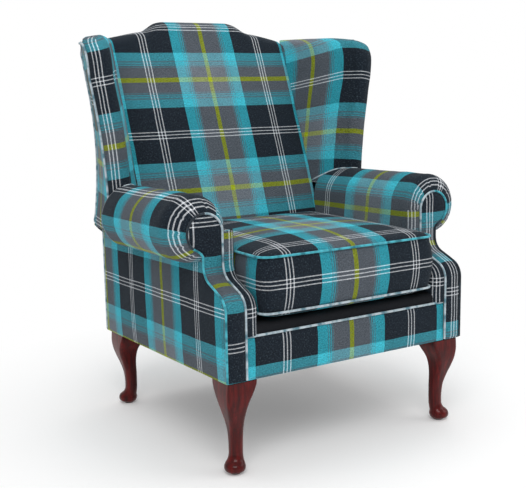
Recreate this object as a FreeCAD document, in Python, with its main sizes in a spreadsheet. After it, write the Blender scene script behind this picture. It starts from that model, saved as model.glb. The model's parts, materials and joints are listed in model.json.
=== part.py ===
import FreeCAD, Part
import math
import os
import Sketcher
from FreeCAD import Placement, Rotation, Vector

# A high-backed fireside wing chair: hardwood frame, webbing, padding, covers, piping,
# four cabriole legs and a loose seat cushion. Millimetres, front towards -Y, floor at Z 0.

SIZES = {
    # Base
    "front_setback": 397,
    "base_half_width": 347,
    "base_front_bottom": 224,
    "base_rear_bottom": 205,
    "cover_thickness": 4,
    "seam_gap": 0.3,
    # Frame timber
    "rail_thickness": 28,
    "rail_top": 300,
    "post_inside": 290,
    "post_depth": 45,
    "post_top": 985,
    "block_leg": 82,
    "block_height": 34,
    "tack_rail_height": 40,
    "tack_rail_level": 318,
    "arm_rail_width": 45,
    "arm_rail_height": 28,
    "wing_board": 18,
    # Legs
    "leg_square": 76,
    "leg_inset": 5,
    "rear_leg_inset": 18,
    "ankle_width": 33,
    "foot_width": 50,
    "foot_reach": 12,
    "knee_reach": 13,
    "glide_width": 24,
    "glide_height": 3,
    "bolt_width": 8,
    "bolt_depth": 60,
    # Seat
    "strap_width": 50,
    "strap_thickness": 2,
    "deck_top": 350,
    "deck_cloth": 2,
    "seat_half_gap": 259,
    "apron_setback": 5,
    "apron_top": 323,
    # Loose cushion
    "cushion_front": 1,
    "cushion_side_play": 1.9,
    "cushion_rear_play": 1,
    "cushion_bow": 4,
    "cushion_seam_low": 371,
    "cushion_seam_high": 500,
    "cushion_crown": 28,
    "cushion_bulge": 14,
    "cushion_corner": 30,
    "cushion_padding": 16,
    "cushion_lift": 0.4,
    # Scroll arms
    "facing_inside": 296,
    "facing_thickness": 6,
    "shoulder_height": 384,
    "shoulder_radius": 42,
    "neck_radius": 40,
    "sweep_angle": 68,
    "sweep_run": 49,
    "scroll_height": 552,
    "scroll_radius": 45,
    "scroll_flare": 15,
    "stump_depth": 30,
    "roll_across": 355,
    "roll_height": 560,
    "roll_radius": 80,
    "roll_fall": 10,
    "arm_padding": 21,
    "arm_foam_depth": 32,
    # Back
    "back_kink": 480,
    "back_rake": 13.3,
    "seat_depth": 513,
    "back_depth": 164,
    "back_foam_depth": 50,
    "pad_rake": 21.1,
    "pad_half_width": 282,
    "pad_crown": 14,
    "shoulder_top": 1030,
    "shoulder_end": 1016,
    "hump_rise": 30,
    "hump_half_width": 100,
    "hump_run": 90,
    "pad_core_inset": 16,
    # Wings
    "wing_lead": 50,
    "wing_padding": 42,
    "wing_board_rear": 60,
    "wing_nose": 62,
    "wing_top": 1012,
    "wing_foot": 508,
    "wing_base": 600,
    "wing_seat_reach": 402,
    "wing_waist_reach": 408,
    "wing_head_reach": 438,
    "rear_seat_reach": 375,
    "rear_waist_reach": 335,
    "rear_head_reach": 335,
    "waist_height": 690,
    "head_level": 900,
    "head_lean": 0.06,
    "nose_round": 55,
    "nose_round_start": 930,
    # Trim
    "piping_radius": 3.5,
    "piping_sides": 6,
}

doc = FreeCAD.newDocument("FiresideChair")
sheet = doc.addObject("Spreadsheet::Sheet", "Sizes")
for row, (name, value) in enumerate(SIZES.items(), start=1):
    sheet.set("A%d" % row, name)
    sheet.set("B%d" % row, str(value))
    sheet.setAlias("B%d" % row, name)
doc.recompute()

parts = []


def size(name):
    return float(sheet.get(name))


def amount(text):
    """The value of an expression over the sheet's names."""
    found = sheet.evalExpression(text)
    return float(getattr(found, "Value", found))


def linked(text):
    """The same expression, written so that another object can follow the sheet."""
    words = sorted(SIZES, key=len, reverse=True)
    out = ""
    place = 0
    while place < len(text):
        match = next((w for w in words if text.startswith(w, place)), None)
        out += "Sizes." + match if match else text[place]
        place += len(match) if match else 1
    return out


# Shared lines of the chair
gap = size("seam_gap")
cover = size("cover_thickness")
front = -size("front_setback")
base_depth = size("seat_depth") + size("back_depth")
rear = front + base_depth
side = size("base_half_width")
side_frame = side - cover - gap
back_front = front + size("seat_depth")
wing_front = back_front - size("wing_lead")
top_of_all = size("shoulder_top") + size("hump_rise") + 100
slope = math.atan2(size("base_front_bottom") - size("base_rear_bottom"), base_depth)
sweep = math.radians(size("sweep_angle"))


def bottom_at(y):
    """Height of the underside, which falls towards the rear."""
    return size("base_front_bottom") - (y - front) * math.tan(slope)


def rear_at(z):
    """Rear face of the chair: upright to the kink, then raked."""
    return rear + max(0, z - size("back_kink")) * math.tan(math.radians(size("back_rake")))


def between(value, low, high):
    return min(max((value - low) / (high - low), 0), 1)


def line(start, end):
    return Part.makeLine(Vector(*start), Vector(*end))


def arc(start, middle, end):
    return Part.Arc(Vector(*start), Vector(*middle), Vector(*end)).toShape()


def extrude(edges, along):
    return Part.Face(Part.Wire(edges)).extrude(Vector(*along))


def mirrored(shape):
    return shape.mirror(Vector(0, 0, 0), Vector(1, 0, 0))


def polygon_yz(corners, x_low, x_high):
    points = [Vector(x_low, y, z) for y, z in corners]
    face = Part.Face(Part.makePolygon(points + points[:1]))
    return face.extrude(Vector(x_high - x_low, 0, 0))


def largest(shape):
    """The piece itself, without the slivers a groove leaves."""
    return max(shape.Solids, key=lambda solid: solid.Volume)


def box(x_low, x_high, y_low, y_high, z_low, z_high):
    return Part.makeBox(x_high - x_low, y_high - y_low, z_high - z_low, Vector(x_low, y_low, z_low))


def skin(rings, closed=False):
    """A solid through rings of corners, with flat facets."""
    faces = []
    pairs = list(zip(rings, rings[1:]))
    if closed:
        pairs.append((rings[-1], rings[0]))
    for low, high in pairs:
        for i in range(len(low)):
            j = (i + 1) % len(low)
            a, b, c, d = low[i], low[j], high[j], high[i]
            across = (b - a).cross(d - a)
            flat = abs(across.dot(c - a)) < 1e-7 * across.Length
            loops = [[a, b, c, d]] if flat else [[a, b, c], [a, c, d]]
            faces += [Part.Face(Part.makePolygon(loop + loop[:1])) for loop in loops]
    if not closed:
        faces += [Part.Face(Part.makePolygon(ring + ring[:1])) for ring in (rings[0], rings[-1])]
    return Part.makeSolid(Part.makeShell(faces))


def padded(sections, steps=4):
    """A padded form through sections of lines and arcs, each arc in as many facets as steps."""
    rings = []
    for edges in sections:
        ring = []
        for edge in edges:
            count = 1 if isinstance(edge.Curve, Part.Line) else steps
            ring += edge.discretize(count + 1)[:-1]
        rings.append(ring)
    return skin(rings)


def keep(name, shape):
    """A piece whose shape is worked out here."""
    piece = doc.addObject("Part::Feature", name)
    piece.Label = name
    piece.Shape = shape
    piece.Placement = Placement()
    parts.append(piece)
    return piece


def keep_pair(name, shape):
    """The right-hand piece and its mirror image."""
    keep(name + "_right", shape)
    keep(name + "_left", mirrored(shape))


# Sketched pieces


def plane(body, role):
    return next(f for f in body.Origin.OriginFeatures if f.Role == role)


def outline(body, name, role, corners):
    """A closed polygon on an origin plane, each corner a pair of expressions."""
    sketch = body.newObject("Sketcher::SketchObject", name)
    sketch.AttachmentSupport = [(plane(body, role), "")]
    sketch.MapMode = "FlatFace"
    points = [Vector(amount(u), amount(v), 0) for u, v in corners]
    count = len(points)
    for i in range(count):
        sketch.addGeometry(Part.LineSegment(points[i], points[(i + 1) % count]))
    for i in range(count):
        sketch.addConstraint(Sketcher.Constraint("Coincident", i, 2, (i + 1) % count, 1))
    for i, (u, v) in enumerate(corners):
        for kind, value, text in (("DistanceX", points[i].x, u), ("DistanceY", points[i].y, v)):
            number = sketch.addConstraint(Sketcher.Constraint(kind, -1, 1, i, 1, value))
            sketch.setExpression("Constraints[%d]" % number, linked(text))
    return sketch


def board(name, role, corners, thickness, base=("0", "0", "0"), tilt=None):
    """A sawn board: a sketched outline padded to its thickness."""
    body = doc.addObject("PartDesign::Body", name)
    body.Label = name
    sketch = outline(body, name + "_outline", role, corners)
    pad = body.newObject("PartDesign::Pad", name + "_pad")
    pad.Profile = sketch
    pad.setExpression("Length", linked(thickness))
    sketch.Visibility = False
    for letter, text in zip("xyz", base):
        body.setExpression("Placement.Base." + letter, linked(text))
    if tilt:
        body.setExpression("Placement.Rotation.Axis.x", "1")
        body.setExpression("Placement.Rotation.Axis.z", "0")
        body.setExpression("Placement.Rotation.Angle", linked(tilt))
    parts.append(body)
    return body



def block(name, low, high):
    """A squared timber between two corners given as expressions."""
    piece = doc.addObject("Part::Box", name)
    piece.Label = name
    for side_name, start, end in zip(("Length", "Width", "Height"), low, high):
        piece.setExpression(side_name, linked("(%s) - (%s)" % (end, start)))
    for letter, start in zip("xyz", low):
        piece.setExpression("Placement.Base." + letter, linked(start))
    parts.append(piece)
    return piece


def block_pair(name, low, high):
    """The right-hand timber and its mirror image."""
    block(name + "_right", low, high)
    block(name + "_left", ("-(%s)" % high[0],) + low[1:], ("-(%s)" % low[0],) + high[1:])


# Places shared by the timbers
SIDE_FRAME = "base_half_width - cover_thickness - seam_gap"
FRONT = "-front_setback"
REAR_FRAME = "seat_depth + back_depth - front_setback - cover_thickness - seam_gap"
STUMP_FRONT = FRONT + " + facing_thickness + seam_gap"
STUMP_REAR = STUMP_FRONT + " + stump_depth"
STUMP_INSIDE = "facing_inside + 1.5"
SWEEP_DEPTH = (
    "(shoulder_radius + neck_radius) * (1 - cos(sweep_angle)) + sweep_run * sin(sweep_angle)"
)
HEAD_PLANE = FRONT + " + " + SWEEP_DEPTH
UNDER = "1.7"
SLOPE = "(base_front_bottom - base_rear_bottom) / (seat_depth + back_depth)"
POST_FRONT = REAR_FRAME + " - post_depth"
WING_START = FRONT + " + seat_depth - wing_lead + 6"

under = amount(UNDER)
head_plane = amount(HEAD_PLANE)
stump_rear = amount(STUMP_REAR)
rear_frame = amount(REAR_FRAME)
post_front = amount(POST_FRONT)
wing_start = amount(WING_START)
stuffing_floor = size("rail_top") + 2 * (size("strap_thickness") + gap) + gap
half_pad = size("pad_half_width")


def frame_timbers():
    """Seat rails, posts and rails of the back, and the rails of the arms."""
    block(
        "front_rail",
        ("-(%s - seam_gap)" % STUMP_INSIDE, FRONT + " + apron_setback + cover_thickness + seam_gap",
         "base_front_bottom + " + UNDER),
        (STUMP_INSIDE + " - seam_gap",
         FRONT + " + apron_setback + cover_thickness + seam_gap + rail_thickness", "rail_top"),
    )
    block(
        "back_rail",
        ("-post_inside + seam_gap", REAR_FRAME + " - rail_thickness", "base_rear_bottom + 1 + " + UNDER),
        ("post_inside - seam_gap", REAR_FRAME, "rail_top"),
    )
    fall = "(%s + front_setback) * %s"
    rail_start = STUMP_REAR + " + seam_gap"
    side_outline = [
        (rail_start, "base_front_bottom + %s - %s" % (UNDER, fall % ("(%s)" % rail_start, SLOPE))),
        (REAR_FRAME, "base_front_bottom + %s - %s" % (UNDER, fall % ("(%s)" % REAR_FRAME, SLOPE))),
        (REAR_FRAME, "rail_top"),
        (rail_start, "rail_top"),
    ]
    board("side_rail_right", "YZ_Plane", side_outline, "rail_thickness",
          (SIDE_FRAME + " - rail_thickness", "0", "0"))
    board("side_rail_left", "YZ_Plane", side_outline, "rail_thickness",
          ("-(%s)" % SIDE_FRAME, "0", "0"))
    lean = " + (post_top - back_kink) * tan(back_rake)"
    post_outline = [
        (POST_FRONT, "base_rear_bottom + 1.5 + " + UNDER),
        (REAR_FRAME, "base_rear_bottom + 1.5 + " + UNDER),
        (REAR_FRAME, "back_kink"),
        (REAR_FRAME + lean, "post_top"),
        (POST_FRONT + lean, "post_top"),
        (POST_FRONT, "back_kink"),
    ]
    post_thickness = SIDE_FRAME + " - rail_thickness - seam_gap - post_inside"
    board("back_post_right", "YZ_Plane", post_outline, post_thickness, ("post_inside", "0", "0"))
    board("back_post_left", "YZ_Plane", post_outline, post_thickness,
          ("-(%s - rail_thickness - seam_gap)" % SIDE_FRAME, "0", "0"))
    block(
        "lower_back_rail",
        ("-post_inside + seam_gap", REAR_FRAME + " - rail_thickness", "tack_rail_level"),
        ("post_inside - seam_gap", REAR_FRAME, "tack_rail_level + tack_rail_height"),
    )
    block_pair(
        "arm_tack_rail",
        (STUMP_INSIDE, STUMP_REAR + " + seam_gap", "tack_rail_level"),
        (STUMP_INSIDE + " + rail_thickness", POST_FRONT + " - seam_gap",
         "tack_rail_level + tack_rail_height"),
    )
    block_pair(
        "arm_rail",
        ("roll_across - arm_rail_width / 2",
         HEAD_PLANE + " + facing_thickness + stump_depth + 2 * seam_gap", "roll_height - arm_rail_height"),
        ("roll_across + arm_rail_width / 2", WING_START + " - seam_gap", "roll_height"),
    )


def rounded_rise(x):
    """Fall of the hump at a distance from its flat top, as two equal tangent arcs."""
    half_run = size("hump_run") / 2
    half_rise = size("hump_rise") / 2
    radius = (half_run ** 2 + half_rise ** 2) / (2 * half_rise)
    out = min(max(abs(x) - size("hump_half_width"), 0), 2 * half_run)
    if out <= half_run:
        return radius - math.sqrt(radius ** 2 - out ** 2)
    out = 2 * half_run - out
    return 2 * half_rise - radius + math.sqrt(radius ** 2 - out ** 2)


def camel_top(x):
    """Height of the top edge: a flat hump between two gently falling shoulders."""
    shoulder_start = size("hump_half_width") + size("hump_run")
    along = between(abs(x), shoulder_start, half_pad)
    fall = along * (size("shoulder_top") - size("shoulder_end"))
    return size("shoulder_top") + size("hump_rise") - rounded_rise(x) - fall


def camel_edges(y, drop, half_width, shoulder_drop=0):
    """The top edge from right to left, lowered by a drop."""
    flat = size("hump_half_width")
    run = size("hump_run")

    def point(x):
        return (x, y, camel_top(x) - drop)

    right = [line((half_width, y, camel_top(half_width) - drop - shoulder_drop), point(flat + run)),
             arc(point(flat + run), point(flat + 0.75 * run), point(flat + run / 2)),
             arc(point(flat + run / 2), point(flat + 0.25 * run), point(flat))]
    left = [arc(point(-flat), point(-flat - 0.25 * run), point(-flat - run / 2)),
            arc(point(-flat - run / 2), point(-flat - 0.75 * run), point(-flat - run)),
            line(point(-flat - run), (-half_width, y, camel_top(half_width) - drop - shoulder_drop))]
    return right + [line(point(flat), point(-flat))] + left


def raked_slab(offset_front, offset_rear, z_low, z_high, half_width):
    """A slab that follows the raked back, measured forward from the rear face."""
    corners = [(rear_at(z_low) - offset_front, z_low), (rear_at(z_low) - offset_rear, z_low)]
    if z_low < size("back_kink") < z_high:
        corners.append((rear - offset_rear, size("back_kink")))
    corners += [(rear_at(z_high) - offset_rear, z_high), (rear_at(z_high) - offset_front, z_high)]
    if z_low < size("back_kink") < z_high:
        corners.append((rear - offset_front, size("back_kink")))
    return polygon_yz(corners, -half_width, half_width)


def top_rail():
    """The camel-backed crest rail between the posts."""
    low = size("post_top") - 50
    depth = cover + gap
    half_width = size("post_inside") - gap
    slab = raked_slab(depth + size("rail_thickness"), depth, low, top_of_all, half_width)
    edges = camel_edges(0, 22, half_width)
    edges += [line((-half_width, 0, camel_top(half_width) - 22), (-half_width, 0, low)),
              line((-half_width, 0, low), (half_width, 0, low)),
              line((half_width, 0, low), (half_width, 0, camel_top(half_width) - 22))]
    return slab.common(extrude(edges, (0, 1000, 0)))


def sweep_points(inset):
    """Side view of the arm front, set in by a distance: shoulder arc, run and neck arc."""
    convex = size("shoulder_radius") - inset
    concave = size("neck_radius") + inset
    run = size("sweep_run")
    y, z = front + inset, size("shoulder_height")
    points = [(y, z)]
    for angle in (sweep / 2, sweep):
        points.append((y + convex * (1 - math.cos(angle)), z + convex * math.sin(angle)))
    y, z = points[-1]
    y, z = y + run * math.sin(sweep), z + run * math.cos(sweep)
    points.append((y, z))
    for angle in (sweep / 2, 0):
        points.append((y + concave * (math.cos(angle) - math.cos(sweep)),
                       z + concave * (math.sin(sweep) - math.sin(angle))))
    return points


def sweep_edges(x, inset, z_low, z_high):
    """Edges of the arm front from its foot to a height, in the side plane at x."""
    p = [(x, y, z) for y, z in sweep_points(inset)]
    edges = [line((x, p[0][1], z_low), p[0]), arc(*p[0:3]), line(p[2], p[3]), arc(*p[3:6])]
    if z_high > p[5][2]:
        edges.append(line(p[5], (x, p[5][1], z_high)))
    return edges


def sweep_slab(x_low, x_high, inset, depth, z_low, z_high):
    """A band behind the arm front, as deep as asked."""
    ahead = sweep_edges(x_low, inset, z_low, z_high)
    behind = sweep_edges(x_low, inset + depth, z_low, z_high)
    top = line((x_low, head_plane + inset, z_high), (x_low, head_plane + inset + depth, z_high))
    foot = line((x_low, front + inset, z_low), (x_low, front + inset + depth, z_low))
    wire = Part.Wire(Part.__sortEdges__(ahead + behind + [top, foot]))
    return Part.Face(wire).extrude(Vector(x_high - x_low, 0, 0))


def scroll_outline(y, inner, outer, radius, z_low):
    """Front view of a facing: a straight leg, a flared neck and a round head."""
    centre = inner + radius
    head = size("scroll_height")
    flare = size("scroll_flare")
    across = outer + flare - centre
    down = math.sqrt((radius + flare) ** 2 - across ** 2)
    turn = math.atan2(-down, across)

    def on_head(angle):
        return (centre + radius * math.cos(angle), y, head + radius * math.sin(angle))

    def on_flare(angle):
        return (outer + flare + flare * math.cos(angle), y, head - down + flare * math.sin(angle))

    meet = turn + math.pi
    return [
        line((inner, y, z_low), (outer, y, z_low)),
        line((outer, y, z_low), (outer, y, head - down)),
        arc((outer, y, head - down), on_flare((math.pi + meet) / 2), on_head(turn)),
        arc(on_head(turn), on_head(turn / 2), on_head(0)),
        arc(on_head(0), on_head(math.pi / 4), on_head(math.pi / 2)),
        arc(on_head(math.pi / 2), on_head(math.pi * 3 / 4), on_head(math.pi)),
        line(on_head(math.pi), (inner, y, z_low)),
    ]


def scroll_facing():
    """The piped panel on the arm front, curving back from the base to the scroll head."""
    low, high = bottom_at(front), 700
    slab = sweep_slab(200, 500, 0, size("facing_thickness"), low, high)
    edge = size("piping_radius") + 2 * gap
    edges = scroll_outline(front - 20, size("facing_inside") + edge, side - edge,
                           size("scroll_radius") - edge, low)
    return slab.common(extrude(edges, (0, 400, 0)))


def arm_stump():
    """The front arm timber, sawn to the same sweep and scroll."""
    low, high = bottom_at(front) + under, 700
    inner = amount(STUMP_INSIDE)
    slab = sweep_slab(200, 500, size("facing_thickness") + gap, size("stump_depth"), low, high)
    radius = size("scroll_radius") - 2
    edges = scroll_outline(front - 20, inner, side_frame, radius, low)
    return slab.common(extrude(edges, (0, 400, 0)))


def arm_section(y, across, height, radius, inner, flat=0.0):
    """Cross-section of an arm: upright inner face, scroll roll and outer face."""
    outer = side_frame
    waist = 430
    z_under = height - math.sqrt(radius ** 2 - (outer - across) ** 2)
    start = math.atan2(z_under - height, outer - across)
    end = math.radians(172)
    steps = 6

    def on_roll(angle, share=1.0):
        return (across + share * radius * math.cos(angle), y, height + share * radius * math.sin(angle))

    angles = [start + (end - start) * i / steps for i in range(steps + 1)]
    sag = math.cos((end - start) / steps / 2)
    edges = [line((inner, y, stuffing_floor), (outer, y, stuffing_floor)),
             line((outer, y, stuffing_floor), on_roll(start))]
    for low, high in zip(angles, angles[1:]):
        share = 1 - flat * (1 - sag)
        edges.append(arc(on_roll(low), on_roll((low + high) / 2, share), on_roll(high)))
    last = on_roll(end)
    middle = ((last[0] + inner) / 2 + 2, y, (last[2] + waist) / 2 - 4)
    edges.append(arc(last, middle, (inner, y, waist)))
    edges.append(line((inner, y, waist), (inner, y, stuffing_floor)))
    return edges


def gathers():
    """Stations of the gathered front of the roll: depth, share of the full roll, flatness."""
    rim = size("piping_radius") + gap
    return [(rim, 0.1, 0.9), (rim + 8, 0.55, 0.75), (rim + 22, 0.86, 0.5), (rim + 46, 1.0, 0.1)]


def roll_circle(share):
    """Centre and radius of the roll between the scroll head and its full size."""
    small = size("scroll_radius") + 2
    head = size("facing_inside") + size("scroll_radius")
    level = size("scroll_height")
    return (head + (size("roll_across") - head) * share, level + (size("roll_height") - level) * share,
            small + (size("roll_radius") - small) * share)


def roll_level(y):
    """Height of the middle of the full roll, which falls towards the rear."""
    return size("roll_height") - size("roll_fall") * between(y, head_plane, post_front)


def arm_roll():
    """The padded arm, gathered in at its front round the scroll head."""
    inner = size("seat_half_gap")
    lap = size("facing_inside") + 2
    sections = []
    for depth, share, flat in gathers():
        across, height, radius = roll_circle(share)
        sections.append(arm_section(head_plane + depth, across, height, radius,
                                    lap + (inner - lap) * share ** 0.8, flat))
    for y in (wing_start - gap, post_front - gap):
        sections.append(arm_section(y, size("roll_across"), roll_level(y), size("roll_radius") - 2, inner))
    return padded(sections, 4)


def arm_front():
    """The padded front of the inside arm, rounded towards the seat."""
    low = size("apron_top") + 1.2 * size("piping_radius") + gap
    inner = size("seat_half_gap")
    outer = size("facing_inside") - size("piping_radius") - gap
    sections = []
    for x, inset in ((inner, 14), (inner + 5, 5), (inner + 14, 1), (outer, 0)):
        edges = sweep_edges(x, inset, low, 520)
        edges += [line((x, head_plane + inset, 520), (x, head_plane + 60, 520)),
                  line((x, head_plane + 60, 520), (x, head_plane + 60, low)),
                  line((x, head_plane + 60, low), (x, front + inset, low))]
        sections.append(edges)
    return padded(sections, 5)


def arm_stuffing():
    """The foam inside an arm, between its tack rail and its top rail."""
    inner = size("seat_half_gap") + size("arm_padding")
    low = size("tack_rail_level") + size("tack_rail_height") + 7
    return box(inner, inner + size("arm_foam_depth"), stump_rear + 110, wing_start + 38,
               low, size("roll_height") - size("arm_rail_height") - 2)


def pad_front(z):
    """Front face of the back padding at its middle."""
    return back_front + max(0, z - size("back_kink")) * math.tan(math.radians(size("pad_rake")))


def back_section(x):
    """Side view of the back padding at x: upright foot, raked face, rolled top."""
    share = abs(x) / half_pad
    sink = size("pad_crown") * share ** 4
    top = camel_top(x) - 6 * share ** 4
    kink = size("back_kink")
    depth = cover + gap
    low = stuffing_floor
    shoulder = top - 40

    def face(z):
        return pad_front(z) + sink

    middle = (kink + shoulder) / 2
    back_top = top - 14
    crest = (face(shoulder) + 26, top - 8)
    edges = [
        line((x, rear - depth, low), (x, face(low), low)),
        line((x, face(low), low), (x, face(kink), kink)),
        arc((x, face(kink), kink), (x, face(middle) - 7, middle), (x, face(shoulder), shoulder)),
        arc((x, face(shoulder), shoulder), (x, crest[0] - 12, crest[1] - 6), (x, crest[0] + 20, top)),
        line((x, crest[0] + 20, top), (x, rear_at(back_top) - depth, back_top)),
        line((x, rear_at(back_top) - depth, back_top), (x, rear - depth, kink)),
        line((x, rear - depth, kink), (x, rear - depth, low)),
    ]
    return edges


def back_form():
    """Outer form of the inside back, with its crown and camel top."""
    hump = size("hump_half_width")
    run = size("hump_run")
    half = [hump, hump + run / 6, hump + run / 3, hump + run / 2, hump + run * 2 / 3,
            hump + run * 5 / 6, hump + run, (hump + run + half_pad) / 2, half_pad - 18, half_pad - 6,
            half_pad]
    stations = [-x for x in reversed(half)] + half
    return padded([back_section(x) for x in stations], 5)


def back_core(inset_front, depth_front):
    """The space inside the back padding: a raked slab behind the wadding."""
    low = stuffing_floor + size("pad_core_inset")
    high = size("post_top") - 55
    kink = size("back_kink")
    half_width = half_pad - 20
    ahead = [(pad_front(z) + inset_front, z) for z in (low, kink, high)]
    if depth_front:
        behind = [(pad_front(z) + inset_front + depth_front, z) for z in (high, kink, low)]
    else:
        behind = [(rear_at(z) - cover - gap, z) for z in (high, kink, low)]
    return polygon_yz(ahead + behind, -half_width, half_width)


def back_webbing(start):
    """Upright straps that carry the back padding."""
    count = 5
    width = size("strap_width")
    half_width = half_pad - 24
    pitch = (2 * half_width - width) / (count - 1)
    low = stuffing_floor + size("pad_core_inset") + gap
    high = size("post_top") - 55 - gap
    straps = []
    for i in range(count):
        left = -half_width + i * pitch
        ahead = [(pad_front(z) + start, z) for z in (low, size("back_kink"), high)]
        behind = [(y + size("strap_thickness"), z) for y, z in reversed(ahead)]
        straps.append(polygon_yz(ahead + behind, left, left + width))
    return Part.makeCompound(straps)


def circle_reach(z, low, middle, high):
    """Distance out from the middle on an arc through three heights, straight above the last."""
    z1, z2, z3 = size("back_kink"), size("waist_height"), size("head_level")
    if z <= z1:
        return low
    if z >= z3:
        return high + (z - z3) * size("head_lean")
    centre = Part.Circle(Vector(low, z1, 0), Vector(middle, z2, 0), Vector(high, z3, 0))
    out = math.sqrt(centre.Radius ** 2 - (z - centre.Center.y) ** 2)
    return centre.Center.x - out if centre.Center.x > middle else centre.Center.x + out


def wing_reach(z):
    return circle_reach(z, size("wing_seat_reach"), size("wing_waist_reach"), size("wing_head_reach"))


def rear_reach(z):
    return circle_reach(z, size("rear_seat_reach"), size("rear_waist_reach"), size("rear_head_reach"))


def nose_front(z):
    """Front edge of a wing, which rounds back at its top corner."""
    start = size("nose_round_start")
    share = between(z, start, size("wing_top"))
    return wing_front + size("nose_round") * (1 - math.sqrt(1 - 0.98 * share ** 2))


def wing_section(z, inset=0.0):
    """Plan of a wing: padded inner face, rounded nose and the bed of the outside panel."""
    level = min(z, size("wing_top"))
    nose = nose_front(z) + inset
    reach = wing_reach(level)
    step = cover + gap
    thick = size("wing_nose")
    inner_x = half_pad + gap
    inner = (reach - thick + inset * 0.6, nose + 32, z)
    tip = (reach - thick * 0.48, nose, z)
    outer = (reach - inset, nose + 30, z)
    back_y = rear_at(level) - step - inset
    root = (inner_x, pad_front(level) + size("pad_crown") + 6, z)
    blend = ((inner[0] + root[0]) / 2 - 7, (inner[1] + root[1]) / 2 - 6, z)
    on_nose_in = (inner[0] + thick * 0.13, nose + 9, z)
    on_nose_out = (outer[0] - thick * 0.13, nose + 9, z)
    bed = (outer[0] - step, nose + 30, z)
    corner = (rear_reach(level) - step - inset, back_y, z)
    edges = [
        line((inner_x, back_y, z), root),
        arc(root, blend, inner),
        arc(inner, on_nose_in, tip),
        arc(tip, on_nose_out, outer),
        line(outer, bed),
        line(bed, corner),
        line(corner, (inner_x, back_y, z)),
    ]
    return edges


def wing_levels():
    """Heights at which a wing and its outside panel are drawn."""
    low, high = size("wing_base"), size("wing_top") - 18
    return [low + (high - low) * share for share in (0, 0.11, 0.23, 0.36, 0.48, 0.6, 0.7, 0.78, 0.85, 0.92, 1)]


def wing_form():
    """A padded wing from the arm up, rounded over at its top."""
    top = size("wing_top")
    sections = [wing_section(z) for z in wing_levels()]
    sections += [wing_section(z, inset) for z, inset in ((top - 11, 2), (top - 5, 6), (top, 14))]
    return padded(sections, 4)


def wing_slab(levels, start, depth, nose_gap, rear_gap):
    """A panel that follows the outer face of a wing, as deep as asked."""
    rings = []
    for z in levels:
        nose = nose_front(z) + nose_gap
        back_y = rear_at(z) - rear_gap
        front_x = wing_reach(z) - start
        rear_x = rear_reach(z) - start
        ring = [(front_x, nose), (front_x - depth, nose), (rear_x - depth, back_y), (rear_x, back_y)]
        rings.append([Vector(x, y, z) for x, y in ring])
    return skin(rings)


def wing_board():
    """The board inside a wing, from above the arm to below the wing's top."""
    low, high = size("wing_base") + 6, size("wing_top") - 47
    levels = [low + (high - low) * share for share in (0, 0.23, 0.43, 0.62, 0.82, 0.93, 1)]
    return wing_slab(levels, cover + 2 * gap + 8, size("wing_board"), size("wing_padding"),
                     size("wing_board_rear"))


def wing_back_plan(clear):
    """Plan behind the inner face of a wing, from its nose to the back post."""
    inner = amount(SIDE_FRAME + " - rail_thickness") + clear
    nose = size("wing_seat_reach") - size("wing_nose")
    return [(inner, wing_start + nose - inner + 26 + clear), (nose + clear, wing_start + 26 + clear),
            (nose + 18 + clear, wing_start + clear)]


def wing_tail():
    """The stuffed foot of the outside wing, behind the roll and over the arm panel."""
    plan = wing_back_plan(0)
    foot = size("wing_foot")
    rings = []
    for z, inset in ((foot - 8, 14), (foot - 3, 6), (foot + 5, 1), (foot + 14, 0),
                     (size("wing_base") - gap, 0)):
        reach = wing_reach(z) - inset
        corner = rear_reach(z) - inset * 0.4
        back_y = rear_at(z) - cover - gap
        ring = plan + [(reach - 12, wing_start), (reach, wing_start + 14), (corner, back_y),
                       (plan[0][0], back_y)]
        rings.append([Vector(x, y, z) for x, y in ring])
    return skin(rings)


def behind_roll():
    """The space behind the roll of an arm, which the wing and its foot fill."""
    plan = wing_back_plan(-gap)
    plan += [(600, plan[-1][1]), (600, 600), (plan[0][0], 600)]
    points = [Vector(x, y, 0) for x, y in plan]
    return Part.Face(Part.makePolygon(points + points[:1])).extrude(Vector(0, 0, 900))


def outside_back():
    """The back panel, from the underside to the camel top."""
    slab = raked_slab(cover, 0, size("base_rear_bottom"), top_of_all, 600)
    low = size("base_rear_bottom") + cover * math.tan(slope)
    foot = size("wing_foot") - 8
    levels = [foot + 4, size("waist_height"), size("head_level")]
    reaches = [rear_reach(z) for z in levels]
    head = (size("wing_top") - 32, rear_reach(size("wing_top") - 32))
    corner_top = camel_top(half_pad) - 12

    def upright(sign):
        a, b, c = [(sign * x, 0, z) for x, z in zip(reaches, levels)]
        d = (sign * head[1], 0, head[0])
        e = (sign * (head[1] - 7), 0, head[0] + 16)
        f = (sign * (head[1] - 22), 0, corner_top)
        g = (sign * half_pad, 0, corner_top)
        under = (sign * side, 0, foot)
        return [line((sign * side, 0, low), under), line(under, a), arc(a, b, c), line(c, d), arc(d, e, f),
                line(f, g)]

    edges = upright(1) + upright(-1) + camel_edges(0, 12, half_pad)
    edges.append(line((-side, 0, low), (side, 0, low)))
    face = Part.Face(Part.Wire(Part.__sortEdges__(edges)))
    return slab.common(face.extrude(Vector(0, 1000, 0)))


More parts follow.
